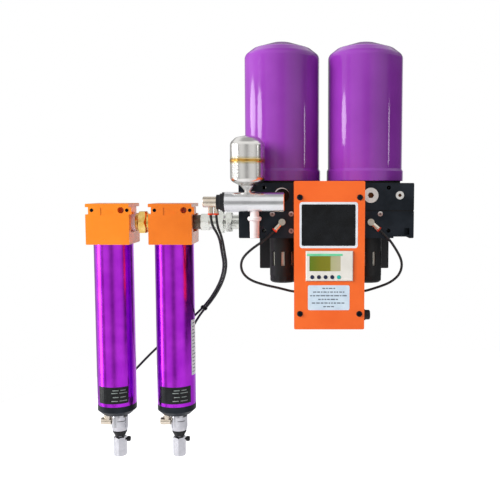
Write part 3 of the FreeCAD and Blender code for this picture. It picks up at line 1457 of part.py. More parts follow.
def make_head_union():
    """Brass union between the two heads, with a machined ring round the left head's port."""
    half = s.head_width / 2
    seat = left_filter + half - s.recess_depth
    span = s.union_gap + s.recess_depth * 2
    ring = make_ring("port_ring", s.port_ring_radius, s.union_body_radius, s.port_ring_length,
                     "right", seat, line_depth, -s.line_drop)
    body = new_body("brass_union", "right", seat, line_depth, -s.line_drop)
    thread = s.line_port_length - s.thread_clearance
    ends = new_sketch(body, "union_threads", offset=-thread)
    pad(body, circle(ends, s.line_port_radius), thread * 2 + span)
    shell = new_sketch(body, "union_body")
    pad(body, circle(shell, s.union_body_radius - s.thread_clearance), span)
    start = s.recess_depth + s.union_hex_start
    shaped = hexagon(new_sketch(body, "union_hexagon", offset=start), s.union_hex_radius)
    pad(body, shaped, s.union_hex_length)
    bevel = new_sketch(body, "union_bevel", "XZ_Plane")
    radius = s.union_hex_radius
    inner, reach = radius * 0.75, radius * 0.25
    far = start + s.union_hex_length
    outline(bevel, [(inner, start), (radius + reach, start), (radius + reach, start + reach * 1.2)])
    outline(bevel, [(inner, far), (radius + reach, far), (radius + reach, far - reach * 1.2)])
    spin(body, bevel, "Groove")
    bore = new_sketch(body, "union_bore", offset=span + thread)
    pocket(body, circle(bore, s.pipe_bore))
    return [ring, body]


# Tubes

def bent_path(points):
    """Straight runs joined by tangent arcs, each as large as its two runs allow."""
    edges, radii, start = [], [], points[0]
    for before, corner, after in zip(points, points[1:], points[2:]):
        back, ahead = before - corner, after - corner
        trim = 0.45 * min(back.Length, ahead.Length)
        turn = math.pi - back.getAngle(ahead)
        radii.append(trim / math.tan(turn / 2))
        back, ahead = back.normalize(), ahead.normalize()
        arc_start, arc_end = corner + back * trim, corner + ahead * trim
        bisector = (back + ahead).normalize()
        middle = corner + bisector * (math.hypot(radii[-1], trim) - radii[-1])
        edges.append(Part.LineSegment(start, arc_start).toShape())
        edges.append(Part.Arc(arc_start, middle, arc_end).toShape())
        start = arc_end
    edges.append(Part.LineSegment(start, points[-1]).toShape())
    return Part.Wire(edges), radii


def make_tube(label, points):
    """Round tube along a route of X, depth and Z."""
    points = [FreeCAD.Vector(x, -depth, z) for x, depth, z in points]
    path, radii = bent_path(points)
    section = Part.Wire(Part.Circle(points[0], points[1] - points[0], s.tube_radius.number).toShape())
    shape = path.makePipeShell([section], True, False)
    expected = math.pi * s.tube_radius.number ** 2 * path.Length
    print(f"{label}: length {path.Length:.1f}, volume share {shape.Volume / expected:.4f}, "
          f"radii {[round(radius, 1) for radius in radii]}")
    item = doc.addObject("Part::Feature", label)
    item.Label = label
    item.Shape = shape
    return item


def pilot_route(side, free_points):
    """A pilot tube runs from inside its port elbow to inside its box elbow."""
    port_x, port_z = side * s.pilot_spacing.number / 2, -s.pilot_drop.number
    port_depth = manifold_front.number + s.elbow_barrel_level.number
    reach = (s.elbow_barrel_length - s.tube_insert + s.tube_end_gap).number
    lead = reach + s.tube_lead.number
    first_x, first_z = along_barrel(side, PILOT_ANGLES[side], reach)
    second_x, second_z = along_barrel(side, PILOT_ANGLES[side], lead)
    box_x = s.box_offset.number + side * s.box_elbow_spacing.number / 2
    box_depth = manifold_front.number - s.elbow_barrel_level.number
    box_z = (s.box_lift - s.valve_drop).number
    start = [(port_x + x, port_depth, port_z + z) for x, z in ((first_x, first_z), (second_x, second_z))]
    end = [(box_x + side * distance, box_depth, box_z) for distance in (lead, reach)]
    return start + free_points + end


def drain_route(number, filter_x, free_points):
    """A drain tube runs from inside its fitting, down past the filter's back, to inside its elbow."""
    x = -(drain_left + s.drain_ring_length + s.drain_elbow_first + number * s.drain_elbow_pitch).number
    inside = (s.tube_insert - s.tube_end_gap).number
    depth = s.drain_depth.number
    start_z = (s.drain_lift - s.drain_spigot_radius - s.drain_elbow_length).number + inside
    end_x = filter_x.number - s.elbow_socket_offset.number
    end_z = -(float_level + s.elbow_nut_length + s.elbow_pipe_radius).number
    end_depth = (line_depth - s.elbow_pipe_radius - s.elbow_socket_length).number + inside
    last = [(end_x, end_depth - back, end_z + rise) for back, rise in LAST_BEND]
    return [(x, depth, start_z)] + free_points + last + [(end_x, end_depth, end_z)]


PILOT_POINTS = {
    -1: [
        (-119.0, 137.0, -63.0), (-133.0, 134.5, -77.0), (-136.2, 132.0, -90.6), (-132.3, 129.5, -103.5),
        (-120.4, 127.0, -114.0), (-99.0, 124.5, -121.5), (-75.0, 122.5, -126.8),
    ],
    1: [
        (111.0, 137.0, -64.0), (121.0, 134.0, -84.0), (118.0, 130.0, -103.0), (104.0, 126.0, -117.0),
        (82.0, 122.5, -126.0),
    ],
}
# Both drain tubes run side by side down to the tie, which closes round the run after their upper points
UPPER_LEFT = [
    (-180.4, 151.0, -22.0), (-168.8, 144.7, -42.0), (-166.4, 132.9, -68.2), (-165.0, 115.2, -90.0),
    (-171.6, 97.4, -114.0), (-184.2, 80.6, -137.8), (-199.4, 64.8, -159.1),
]
LOWER_LEFT = [
    (-217.5, 48.9, -179.3), (-240.0, 30.0, -200.0), (-268.0, 24.0, -223.0), (-300.0, 22.0, -251.0),
    (-332.0, 21.0, -284.0), (-360.0, 20.0, -314.0),
]
UPPER_RIGHT = [
    (-171.6, 151.0, -22.5), (-164.0, 144.3, -43.0), (-161.4, 132.1, -69.0), (-160.2, 114.8, -90.4),
    (-167.0, 96.6, -115.2), (-180.0, 79.4, -139.6), (-195.4, 63.2, -161.1),
]
LOWER_RIGHT = [
    (-213.5, 47.1, -181.5), (-229.0, 33.0, -206.0), (-245.0, 25.0, -236.0), (-259.0, 21.0, -268.0),
    (-270.0, 20.0, -302.0),
]
# Steps back and up from a drain tube's last point to the two before it
LAST_BEND = [(40.3, 17.6), (22.7, 0.0)]


def make_tie():
    """Band round the two drain tubes where they run side by side."""
    run_ends = (UPPER_LEFT[-1], LOWER_LEFT[0], UPPER_RIGHT[-1], LOWER_RIGHT[0])
    left_start, left_end, right_start, right_end = [FreeCAD.Vector(x, -depth, z) for x, depth, z in run_ends]
    left, right = (left_start + left_end) / 2, (right_start + right_end) / 2
    half = (right - left).Length / 2
    hole = s.tube_radius + s.tie_clearance
    outer = hole + s.tie_wall
    centre = (left + right) / 2
    body = new_body("tube_tie", "up", centre.x, -centre.y, centre.z)
    band = new_sketch(body, "tie_outline", offset=-s.tie_width / 2)
    pad(body, rectangle(band, -half - outer, -outer, half + outer, outer), s.tie_width)
    corners = [(sx * (half + outer), sz * outer) for sx in both_sides for sz in both_sides]
    dress(body, "Fillet", outer * 0.9, straight_edges(FreeCAD.Vector(0, 0, 1), *corners))
    holes = new_sketch(body, "tie_holes", offset=s.tie_width / 2)
    pocket(body, circles(holes, hole, [(-half, 0), (half, 0)]))
    turn = FreeCAD.Rotation(right - left, FreeCAD.Vector(), left_end - left_start, "ZXY")
    body.Placement = FreeCAD.Placement(centre, turn)
    return body


def make_tubes():
    return [
        make_tube("pilot_tube_left", pilot_route(-1, PILOT_POINTS[-1])),
        make_tube("pilot_tube_right", pilot_route(1, PILOT_POINTS[1])),
        make_tube("drain_tube_left", drain_route(1, left_filter, UPPER_LEFT + LOWER_LEFT)),
        make_tube("drain_tube_right", drain_route(0, right_filter, UPPER_RIGHT + LOWER_RIGHT)),
        make_tie(),
    ]


def make_small_fittings():
    elbows, collars = make_pilot_fittings()
    straight, straight_collars = make_drain_fittings()
    return [
        group("pilot_elbows", elbows),
        group("drain_elbows", straight),
        group("release_collars", collars + straight_collars),
    ]


def make_control_box():
    places = enumerate(cover_screw_places(), start=1)
    screws = [make_button_screw(f"cover_screw_{number}", x, z) for number, (x, z) in places]
    valves = [
        make_solenoid(f"solenoid_{name}", s.box_offset + side * s.box_elbow_spacing / 2)
        for side, name in zip(both_sides, ("left", "right"))
    ]
    inside = [group("cover_screws", screws), group("solenoid_valves", valves), make_gland()]
    return [make_tray(), make_cover()] + inside + make_controller()


def faults():
    """Objects that failed to compute, and sub-parts without a sound shape."""
    failed = [item.Label for item in doc.Objects if "Invalid" in item.State or "Error" in item.State]
    unsound = [item.Label for item in PIECES if item.Shape.isNull() or not item.Shape.isValid()]
    return failed + unsound


PIECES = (
    [make_bracket(), make_top_block(), make_seam_gasket(), make_valve_block(), make_plugs()]
    + make_canisters()
    + make_mufflers()
    + make_control_box()
    + make_small_fittings()
    + [make_drain_cylinder(), make_drain_ring(), make_spigot(), make_vessel(), make_condensate_outlet()]
    + make_filters()
    + make_pipe_line()
    + make_head_union()
    + make_tubes()
)
doc.recompute()
if faults():
    raise SystemExit(f"failed: {faults()}")
os.makedirs("parts", exist_ok=True)
for piece in PIECES:
    piece.Shape.exportStep(f"parts/{piece.Label}.step")
print(f"{len(PIECES)} sub-parts written")
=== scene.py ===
import math
import random

import bmesh
import bpy
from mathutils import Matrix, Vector


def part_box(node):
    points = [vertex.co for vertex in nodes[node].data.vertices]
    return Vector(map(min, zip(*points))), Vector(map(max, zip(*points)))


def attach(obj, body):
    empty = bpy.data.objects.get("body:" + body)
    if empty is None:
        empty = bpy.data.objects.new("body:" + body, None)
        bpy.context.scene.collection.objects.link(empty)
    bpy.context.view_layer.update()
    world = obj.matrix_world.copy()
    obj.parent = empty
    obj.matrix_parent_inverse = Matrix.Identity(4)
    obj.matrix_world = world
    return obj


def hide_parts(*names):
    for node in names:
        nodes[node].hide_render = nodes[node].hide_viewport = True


# Looks of a wall-mounted desiccant air dryer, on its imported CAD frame.
# Metres, +X right, +Z up, the wall at Y = 0 and the front towards -Y.
# Labels and routes are in millimetres, their depths counted from the wall, as in the part's source.

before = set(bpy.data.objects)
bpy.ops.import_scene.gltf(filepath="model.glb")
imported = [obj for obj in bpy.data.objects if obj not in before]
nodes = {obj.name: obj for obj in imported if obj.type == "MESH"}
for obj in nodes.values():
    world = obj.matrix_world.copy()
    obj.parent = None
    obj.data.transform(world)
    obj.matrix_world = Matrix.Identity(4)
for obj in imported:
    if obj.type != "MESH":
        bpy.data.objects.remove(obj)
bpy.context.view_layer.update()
MM = 0.001


def add_to_scene(name, data):
    """A new object in the scene that holds the given data."""
    made = bpy.data.objects.new(name, data)
    bpy.context.scene.collection.objects.link(made)
    return made


# Camera, matched to the photograph

CAMERA_PLACE = (-0.0322, -1.239, 0.0323)
LOOKS_DOWN = 5
LENS_LENGTH = 50.4
SIDEWAYS_SHIFT = -0.112
NEAREST_SEEN = 0.05

camera = add_to_scene("camera", bpy.data.cameras.new("camera"))
bpy.context.scene.camera = camera
camera.location = CAMERA_PLACE
camera.rotation_euler = (math.radians(90 - LOOKS_DOWN), 0, 0)
camera.data.lens = LENS_LENGTH
camera.data.shift_x = SIDEWAYS_SHIFT
camera.data.clip_start = NEAREST_SEEN


# Nodes and colours

def linear(code):
    """An sRGB hex colour as the linear values that the nodes take."""
    channels = [int(code[place:place + 2], 16) / 255 for place in (1, 3, 5)]
    return (*(c / 12.92 if c <= 0.04045 else ((c + 0.055) / 1.055) ** 2.4 for c in channels), 1.0)


def node(tree, kind, settings=None, links=None):
    """Adds a node; a setting goes to a property or socket, stops to its colour ramp, a link to a socket."""
    made = tree.nodes.new(kind)
    for key, value in (settings or {}).items():
        if key == "stops":
            elements = made.color_ramp.elements
            for position, _ in value[1:-1]:
                elements.new(position)
            for element, (position, colour) in zip(elements, value):
                element.position = position
                element.color = colour
        elif isinstance(key, str) and hasattr(made, key):
            setattr(made, key, value)
        else:
            made.inputs[key].default_value = value
    for key, source in (links or {}).items():
        tree.links.new(source, made.inputs[key])
    return made


def start(name, colour, **settings):
    """A material with its shader's constants set, its tree, its shader and the object's own coordinates."""
    made = bpy.data.materials.new(name)
    made.use_nodes = True
    tree = made.node_tree
    shader = tree.nodes["Principled BSDF"]
    shader.inputs["Base Color"].default_value = linear(colour)
    for socket, value in settings.items():
        shader.inputs[socket.replace("_", " ")].default_value = value
    place = node(tree, "ShaderNodeTexCoord").outputs["Object"]
    return made, tree, shader, place


def mottle(tree, shader, place, size, low, high):
    """Colour that drifts between two shades over patches of the given size in metres."""
    cloud = node(tree, "ShaderNodeTexNoise", {"Scale": 1 / size, "Detail": 3.0}, {"Vector": place})
    ramp = node(tree, "ShaderNodeValToRGB", {"stops": [(0.32, linear(low)), (0.68, linear(high))]},
                {"Fac": cloud.outputs["Fac"]})
    tree.links.new(ramp.outputs["Color"], shader.inputs["Base Color"])
    return ramp


def relief(tree, shader, place, size, depth, stretch=(1, 1, 1)):
    """Fine bumps of the given size and depth, in metres, drawn out along an axis where stretch is small."""
    drawn_out = node(tree, "ShaderNodeMapping", {"Scale": stretch}, {"Vector": place})
    grain = node(tree, "ShaderNodeTexNoise", {"Scale": 1 / size, "Detail": 2.0},
                 {"Vector": drawn_out.outputs["Vector"]})
    bump = node(tree, "ShaderNodeBump", {"Strength": 1.0, "Distance": depth},
                {"Height": grain.outputs["Fac"]})
    tree.links.new(bump.outputs["Normal"], shader.inputs["Normal"])


def uneven_gloss(tree, shader, place, size, smooth, rough):
    """Roughness that drifts between two values over patches of the given size."""
    cloud = node(tree, "ShaderNodeTexNoise", {"Scale": 1 / size, "Detail": 4.0}, {"Vector": place})
    limits = {"From Min": 0.3, "From Max": 0.7, "To Min": smooth, "To Max": rough}
    spread = node(tree, "ShaderNodeMapRange", limits, {"Value": cloud.outputs["Fac"]})
    tree.links.new(spread.outputs["Result"], shader.inputs["Roughness"])


# Cords: black tubes from fitting to fitting, by the control points of the part's source.
# The left drain tube's middle lies 0.7 mm nearer the other one than there, to follow the photograph.

TUBE_DIAMETER = 4 * MM
TUBE_ROUTES = {
    "pilot_tube_left": [
        (-77.0, 135.0, -27.8), (-93.1, 135.0, -45.6), (-119.0, 137.0, -63.0), (-133.0, 134.5, -77.0),
        (-136.2, 132.0, -90.6), (-132.3, 129.5, -103.5), (-120.4, 127.0, -114.0), (-99.0, 124.5, -121.5),
        (-75.0, 122.5, -126.8), (-49.5, 121.0, -134.0), (-25.5, 121.0, -134.0),
    ],
    "pilot_tube_right": [
        (77.9, 135.0, -26.9), (96.0, 135.0, -42.6), (111.0, 137.0, -64.0), (121.0, 134.0, -84.0),
        (118.0, 130.0, -103.0), (104.0, 126.0, -117.0), (82.0, 122.5, -126.0), (55.5, 121.0, -134.0),
        (31.5, 121.0, -134.0),
    ],
    "drain_tube_left": [
        (-180.4, 151.0, -0.2), (-180.4, 151.0, -22.0), (-168.1, 144.7, -42.0), (-165.7, 132.9, -68.2),
        (-164.3, 115.2, -90.0), (-170.9, 97.4, -114.0), (-183.5, 80.6, -137.8), (-198.8, 64.8, -159.1),
        (-217.5, 48.9, -179.3), (-240.0, 30.0, -200.0), (-268.0, 24.0, -223.0), (-300.0, 22.0, -251.0),
        (-332.0, 21.0, -284.0), (-360.0, 20.0, -314.0), (-380.4, 20.0, -347.4), (-380.4, 37.6, -365.0),
        (-380.4, 60.3, -365.0),
    ],
    "drain_tube_right": [
        (-171.6, 151.0, -0.2), (-171.6, 151.0, -22.5), (-164.0, 144.3, -43.0), (-161.4, 132.1, -69.0),
        (-160.2, 114.8, -90.4), (-167.0, 96.6, -115.2), (-180.0, 79.4, -139.6), (-195.4, 63.2, -161.1),
        (-213.5, 47.1, -181.5), (-229.0, 33.0, -206.0), (-245.0, 25.0, -236.0), (-259.0, 21.0, -268.0),
        (-270.0, 20.0, -302.0), (-278.4, 20.0, -347.4), (-278.4, 37.6, -365.0), (-278.4, 60.3, -365.0),
    ],
}


def tube_finish():
    """Extruded polyurethane: near black, with a soft sheen along the top of each bend."""
    made, tree, shader, place = start("black_polyurethane_tube", "#0D0E11", Roughness=0.48, IOR=1.5)
    mottle(tree, shader, place, 12 * MM, "#0B0C0E", "#121317")
    relief(tree, shader, place, 1.5 * MM, 0.05 * MM)
    return made


def lay_tube(name, finish):
    """One smooth spline along the tube's route between two fittings, in place of the part's own tube."""
    curve = bpy.data.curves.new(f"{name}_run", "CURVE")
    curve.dimensions = "3D"
    curve.bevel_depth = TUBE_DIAMETER / 2
    curve.bevel_resolution = 6
    curve.resolution_u = 16
    curve.use_fill_caps = True
    run = curve.splines.new("NURBS")
    route = [(x * MM, -depth * MM, z * MM) for x, depth, z in TUBE_ROUTES[name]]
    run.points.add(len(route) - 1)
    for point, spot in zip(run.points, route):
        point.co = (*spot, 1.0)
    run.order_u = 3
    run.use_endpoint_u = True
    piece = add_to_scene(f"{name}_run", curve)
    curve.materials.append(finish)
    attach(piece, "dryer")
    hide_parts(name)


polyurethane = tube_finish()
for tube in TUBE_ROUTES:
    lay_tube(tube, polyurethane)


# Metal finishes

def powder_coat(name, colour, dark, light, roughness=0.38):
    """Baked powder coat: an even colour, its highlights softened by an orange peel of 1.2 mm."""
    made, tree, shader, place = start(name, colour, IOR=1.5)
    mottle(tree, shader, place, 60 * MM, dark, light)
    relief(tree, shader, place, 1.2 * MM, 0.06 * MM)
    uneven_gloss(tree, shader, place, 25 * MM, roughness - 0.05, roughness + 0.07)
    return made


def gloss_enamel(name, colour, dark, light):
    """Stoved enamel on a drawn steel shell: a deep gloss whose reflections waver with a slow 9 mm ripple."""
    made, tree, shader, place = start(name, colour, IOR=1.5)
    mottle(tree, shader, place, 90 * MM, dark, light)
    relief(tree, shader, place, 9 * MM, 0.03 * MM)
    uneven_gloss(tree, shader, place, 40 * MM, 0.05, 0.09)
    return made


def anodised(name, colour, dark, light, roughness, along="Z"):
    """Anodised aluminium: dyed oxide over fine drawn or milled lines, which stretch its reflections."""
    made, tree, shader, place = start(name, colour, Metallic=1.0)
    mottle(tree, shader, place, 30 * MM, dark, light)
    # The real lines are about 0.1 mm apart, and are drawn coarser so that they show
    relief(tree, shader, place, 0.8 * MM, 0.008 * MM, stretch={"X": (0.02, 1, 1), "Z": (1, 1, 0.02)}[along])
    uneven_gloss(tree, shader, place, 15 * MM, roughness, roughness + 0.1)
    return made


def galvanised(name, colour, dark, light, roughness):
    """Hot-dip zinc, or the scale on pipe: patchy 3 mm crystals over a slightly lumpy skin."""
    made, tree, shader, place = start(name, colour, Metallic=1.0)
    crystals = node(tree, "ShaderNodeTexVoronoi", {"Scale": 1 / (3 * MM)}, {"Vector": place})
    ramp = node(tree, "ShaderNodeValToRGB", {"stops": [(0.0, linear(dark)), (1.0, linear(light))]},
                {"Fac": crystals.outputs["Color"]})
    tree.links.new(ramp.outputs["Color"], shader.inputs["Base Color"])
    relief(tree, shader, place, 4 * MM, 0.02 * MM)
    uneven_gloss(tree, shader, place, 4 * MM, roughness - 0.1, roughness + 0.12)
    return made


def plated(name, colour, dark, light, roughness):
    """Turned metal under plating or left bare: clear reflections with a faint haze from the tool's marks."""
    made, tree, shader, place = start(name, colour, Metallic=1.0)
    mottle(tree, shader, place, 8 * MM, dark, light)
    # Real turning marks are about 0.1 mm apart, and are drawn coarser so that they show
    relief(tree, shader, place, 0.7 * MM, 0.006 * MM)
    uneven_gloss(tree, shader, place, 5 * MM, roughness, roughness + 0.08)
    return made


# The vessel's seam weld: the heights between which its tint lies, how far the edge wanders, and how often
SEAM_LOW, SEAM_HIGH = 69 * MM, 82 * MM
SEAM_WANDER = 2.5 * MM
SEAM_WAVE = 25 / 3 * MM


def vessel_stainless():
    """Polished stainless steel: a bright mirror, with a straw-coloured band from the weld's heat."""
    made, tree, shader, place = start("polished_stainless_steel", "#E6E4E0", Metallic=1.0)
    height = node(tree, "ShaderNodeSeparateXYZ", links={"Vector": place}).outputs["Z"]
    wander = node(tree, "ShaderNodeTexNoise", {"Scale": 1 / SEAM_WAVE, "Detail": 3.0}, {"Vector": place})
    shift = node(tree, "ShaderNodeMath", {"operation": "MULTIPLY_ADD", 1: SEAM_WANDER, 2: -SEAM_WANDER / 2},
                 {0: wander.outputs["Fac"]})
    level = node(tree, "ShaderNodeMath", {"operation": "ADD"}, {0: height, 1: shift.outputs[0]})
    across = node(tree, "ShaderNodeMapRange", {"From Min": SEAM_LOW, "From Max": SEAM_HIGH},
                  {"Value": level.outputs[0]})
    tints = [
        (0.0, linear("#E6E4E0")), (0.25, linear("#D6C8A0")), (0.42, linear("#D2A54E")),
        (0.58, linear("#CC9A48")), (0.75, linear("#D8CCA8")), (1.0, linear("#E8E6E2")),
    ]
    band = node(tree, "ShaderNodeValToRGB", {"stops": tints}, {"Fac": across.outputs["Result"]})
    tree.links.new(band.outputs["Color"], shader.inputs["Base Color"])
    # The real polishing lines are under 0.1 mm apart, and are drawn coarser so that they show
    relief(tree, shader, place, 1.2 * MM, 0.01 * MM, stretch=(1, 1, 0.05))
    uneven_gloss(tree, shader, place, 18 * MM, 0.2, 0.28)
    return made


# Heights in the frame between which plugs turn dull: those in the lower block
DULL_FROM, DULL_BELOW = -4 * MM, -8 * MM
# Places along Y between which the sockets' painted shade sets in, just behind the plugs' faces
SOCKET_SHADE_FROM, SOCKET_SHADE_FULL = -127.2 * MM, -125 * MM
# The left one of the two large plugs gets painted shade where the drain cylinder shades it: its middle, and
# how far out the painted shade reaches
SHADED_PLUG_MIDDLE = (-69.7 * MM, 0, 20.9 * MM)
PLUG_SHADE_EDGE, PLUG_SHADE_CORE = 12.0 * MM, 11.4 * MM


def turned_plugs():
    """Turned steel plugs: matt and pale, dull ones below, painted brown shade in the sockets and over the
    left large one.
    """
    made, tree, shader, place = start("turned_steel_plugs", "#E4E2DE", Metallic=1.0)
    bright = mottle(tree, shader, place, 10 * MM, "#E6E4E0", "#F4F2EE")
    axes = node(tree, "ShaderNodeSeparateXYZ", links={"Vector": place})
    low = node(tree, "ShaderNodeMapRange", {"From Min": DULL_FROM, "From Max": DULL_BELOW},
               {"Value": axes.outputs["Z"]})
    dull = node(tree, "ShaderNodeMixRGB", {"Color2": linear("#AE938C")},
                {"Fac": low.outputs["Result"], "Color1": bright.outputs["Color"]})
    facing = node(tree, "ShaderNodeVectorMath", {"operation": "MULTIPLY", 1: (1, 0, 1)}, {0: place})
    reach = node(tree, "ShaderNodeVectorMath", {"operation": "DISTANCE", 1: SHADED_PLUG_MIDDLE},
                 {0: facing.outputs["Vector"]})
    spot = node(tree, "ShaderNodeMapRange", {"From Min": PLUG_SHADE_EDGE, "From Max": PLUG_SHADE_CORE},
                {"Value": reach.outputs["Value"]})
    # Painted shade: the left large plug darkened as if in the drain cylinder's shadow
    black = node(tree, "ShaderNodeMixRGB", {"Color2": linear("#241E1C")},
                 {"Fac": spot.outputs["Result"], "Color1": dull.outputs[0]})
    # Painted shade: brown tones for the shade deep inside the sockets
    socket_shade_tint = node(tree, "ShaderNodeMixRGB", {"Color1": linear("#5A3A26"), "Color2": linear("#8C7068")},
                {"Fac": low.outputs["Result"]})
    sunk = node(tree, "ShaderNodeMapRange", {"From Min": SOCKET_SHADE_FROM, "From Max": SOCKET_SHADE_FULL},
                {"Value": axes.outputs["Y"]})
    by_depth = {"Fac": sunk.outputs["Result"], "Color1": black.outputs[0], "Color2": socket_shade_tint.outputs[0]}
    socket_shade = node(tree, "ShaderNodeMixRGB", links=by_depth)
    tree.links.new(socket_shade.outputs[0], shader.inputs["Base Color"])
    # Real turning marks are about 0.1 mm apart, and are drawn coarser so that they show
    relief(tree, shader, place, 0.8 * MM, 0.004 * MM)
    uneven_gloss(tree, shader, place, 5 * MM, 0.4, 0.5)
    return made


# Plastics, rubber and the inner pieces

def moulded(name, colour, dark, light, roughness=0.5, grain=0.6 * MM, depth=0.03 * MM):
    """Injection-moulded plastic or rubber: a satin skin with the fine grain of a spark-eroded mould."""
    # Such plastics are nearer 1.5, and 1.42 gives the faint sheen that these show
    made, tree, shader, place = start(name, colour, IOR=1.42)
    mottle(tree, shader, place, 20 * MM, dark, light)
    # A mould's real grain is about 0.1 mm, and is drawn coarser so that it shows
    relief(tree, shader, place, grain, depth)
    uneven_gloss(tree, shader, place, 10 * MM, roughness - 0.06, roughness + 0.08)
    return made


def porous(name, colour, dark, light, grain):
    """Packed or sintered grains of the given size: a matt, pebbled surface with dark gaps."""
    made, tree, shader, place = start(name, colour, IOR=1.5, Roughness=0.9)
    grains = node(tree, "ShaderNodeTexVoronoi", {"Scale": 1 / grain}, {"Vector": place})
    ramp = node(tree, "ShaderNodeValToRGB", {"stops": [(0.0, linear(light)), (1.0, linear(dark))]},
                {"Fac": grains.outputs["Distance"]})
    bump = node(tree, "ShaderNodeBump", {"Distance": 0.3 * grain, "Strength": 1.0, "invert": True},
                {"Height": grains.outputs["Distance"]})
    tree.links.new(ramp.outputs["Color"], shader.inputs["Base Color"])
    tree.links.new(bump.outputs["Normal"], shader.inputs["Normal"])
    return made


# Where the display's colours start and end across the frame
SCREEN_LEFT, SCREEN_RIGHT = -27 * MM, 20 * MM


def display():
    """Liquid crystal behind a clear window: olive green, with a paler part at the right."""
    made, tree, shader, place = start("liquid_crystal_display", "#7C7C1C", IOR=1.5, Roughness=0.12)
    across = node(tree, "ShaderNodeSeparateXYZ", links={"Vector": place})
    spread = node(tree, "ShaderNodeMapRange", {"From Min": SCREEN_LEFT, "From Max": SCREEN_RIGHT},
                  {"Value": across.outputs["X"]})
    tints = [
        (0.0, linear("#5F7A18")), (0.35, linear("#7C7A18")), (0.66, linear("#83801F")),
        (0.7, linear("#B5B384")), (1.0, linear("#BDB694")),
    ]
    ramp = node(tree, "ShaderNodeValToRGB", {"stops": tints}, {"Fac": spread.outputs["Result"]})
    tree.links.new(ramp.outputs["Color"], shader.inputs["Base Color"])
    relief(tree, shader, place, 0.5 * MM, 0.004 * MM)
    return made


# Control box: a bright, even red-orange with soft highlights
orange_box = powder_coat("orange_powder_coat", "#F7691F", "#F4641B", "#FA6D23")
# Left filter's head: a yellower amber, smooth enough to mirror its surroundings faintly
amber_head = powder_coat("amber_powder_coat", "#F58A16", "#F28412", "#F88E1C", 0.22)
# Right filter's head: the same coat, darker and redder
dark_amber_head = powder_coat("dark_amber_powder_coat", "#E97614", "#E37010", "#EF7C1A", 0.22)
# Manifold and the filters' end caps: blue-black metal with a dull sheen along the milling
black_anodised = anodised("black_anodised_aluminium", "#2C3036", "#272B30", "#343940", 0.36, "X")
# Wall bracket: a flat, matt black
black_bracket = powder_coat("black_powder_coat", "#0C0D0F", "#0A0B0C", "#111215", 0.5)
# Canisters: deep purple under sharp pale reflections
purple_enamel = gloss_enamel("purple_enamel", "#8E35A8", "#8830A2", "#943AAF")
# Filter tubes: vivid violet that mirrors the room in long stripes
purple_anodised = anodised("purple_anodised_aluminium", "#C030EC", "#B82AE4", "#CC3AF4", 0.14)
# Drain cylinder: pale metal that mirrors the room in bands along it
bare_aluminium = anodised("turned_aluminium", "#E8E9EB", "#E0E1E3", "#F0F1F3", 0.16, "X")
# Manifold's plugs: pale grey faces, with painted brown shade inside their sockets and over the left large
# one
plug_steel = turned_plugs()
# Base plates and studs: a dull, warm grey
zinc_plated = plated("zinc_plated_steel", "#CFCAC0", "#C4BFB5", "#D8D4CA", 0.3)
# Union beside the manifold: near white, broken up by its crystals
galvanised_iron = galvanised("galvanised_iron", "#E2E4DE", "#E0E2DA", "#E8EAE4", 0.22)
# Pipe nipple: brown-grey scale with a dull shine
black_pipe = galvanised("black_steel_pipe", "#7C7263", "#6A6154", "#8C8273", 0.36)
# Push-in fittings: a warm, cream-coloured shine
nickel = plated("nickel_plated_brass", "#E4D8C6", "#DACCB8", "#EEE4D6", 0.2)
# Float drains and their valves: cool pale grey, each facet in its own shade
chrome = plated("chromed_brass", "#CCCCD2", "#C6C6CC", "#D6D6DC", 0.09)
# Union between the filters' heads: yellow metal with bright edges
brass = plated("turned_brass", "#EBC46A", "#D9AE50", "#F4D588", 0.2)
# Float vessel: a mirror with one straw-coloured band
stainless = vessel_stainless()
# Screws: blue-black and half matt
black_oxide = plated("black_oxide_steel", "#1E2228", "#181B20", "#282D34", 0.35)
# Mufflers and their caps: a soft black with little sheen
muffler_plastic = moulded("black_moulded_muffler_plastic", "#0A0B0C", "#08090A", "#0F1012", 0.5)
# Gland, knobs, collars, tie and end ring: satin black
nylon = moulded("black_glass_filled_nylon", "#0F1013", "#0C0D0F", "#15171A", 0.5)
# Controller's case: a warm off-white with little shine
cream_plastic = moulded("cream_controller_plastic", "#E8E4DA", "#E2DED4", "#EEEAE0", 0.45)
# Outlet under the drain cylinder: a clean white, a little rosy
white_plastic = moulded("white_acetal", "#EEE6E4", "#E8E0DE", "#F4ECEA", 0.4)
# Release collars: small rings of bright red
red_plastic = moulded("red_acetal", "#DC3A16", "#D23412", "#E4441C", 0.35)
# Four of the controller's buttons: dark navy dots
navy_plastic = moulded("navy_button_plastic", "#1B2340", "#161D38", "#222B4C", 0.35)
# The last button: a teal dot
teal_plastic = moulded("teal_button_plastic", "#18B2A2", "#14A898", "#20BEB0", 0.35)
# Ring round the left head's port: plain white
sealing_plastic = moulded("white_sealing_plastic", "#FAF2F4", "#F6ECEE", "#FCF8F8", 0.45)
# Valve coils in the box: dull black
coil_plastic = moulded("black_coil_plastic", "#121316", "#0F1012", "#18191C", 0.55)
# Gaskets and seals: dead black, with a coarser skin
rubber = moulded("black_nitrile_rubber", "#101010", "#0C0C0C", "#161616", 0.7, 1.0 * MM, 0.05 * MM)
# Muffler cores: pale grains in the slots, really about 0.2 mm and drawn coarser so that they show
sintered = porous("sintered_plastic", "#F0ECDC", "#CCC7B4", "#FAF7EA", 0.8 * MM)
# Desiccant: cream beads of their real 3 mm
beads = porous("desiccant_beads", "#E6E0D2", "#B8AF9C", "#F2EEE4", 3 * MM)
# Filter elements: off-white paper, its fibres drawn far coarser than real so that they show
filter_paper = porous("glass_fibre_paper", "#E4E2D8", "#CFCCC0", "#F0EEE6", 0.6 * MM)
# Controller's display: olive green under a clear gloss
screen = display()

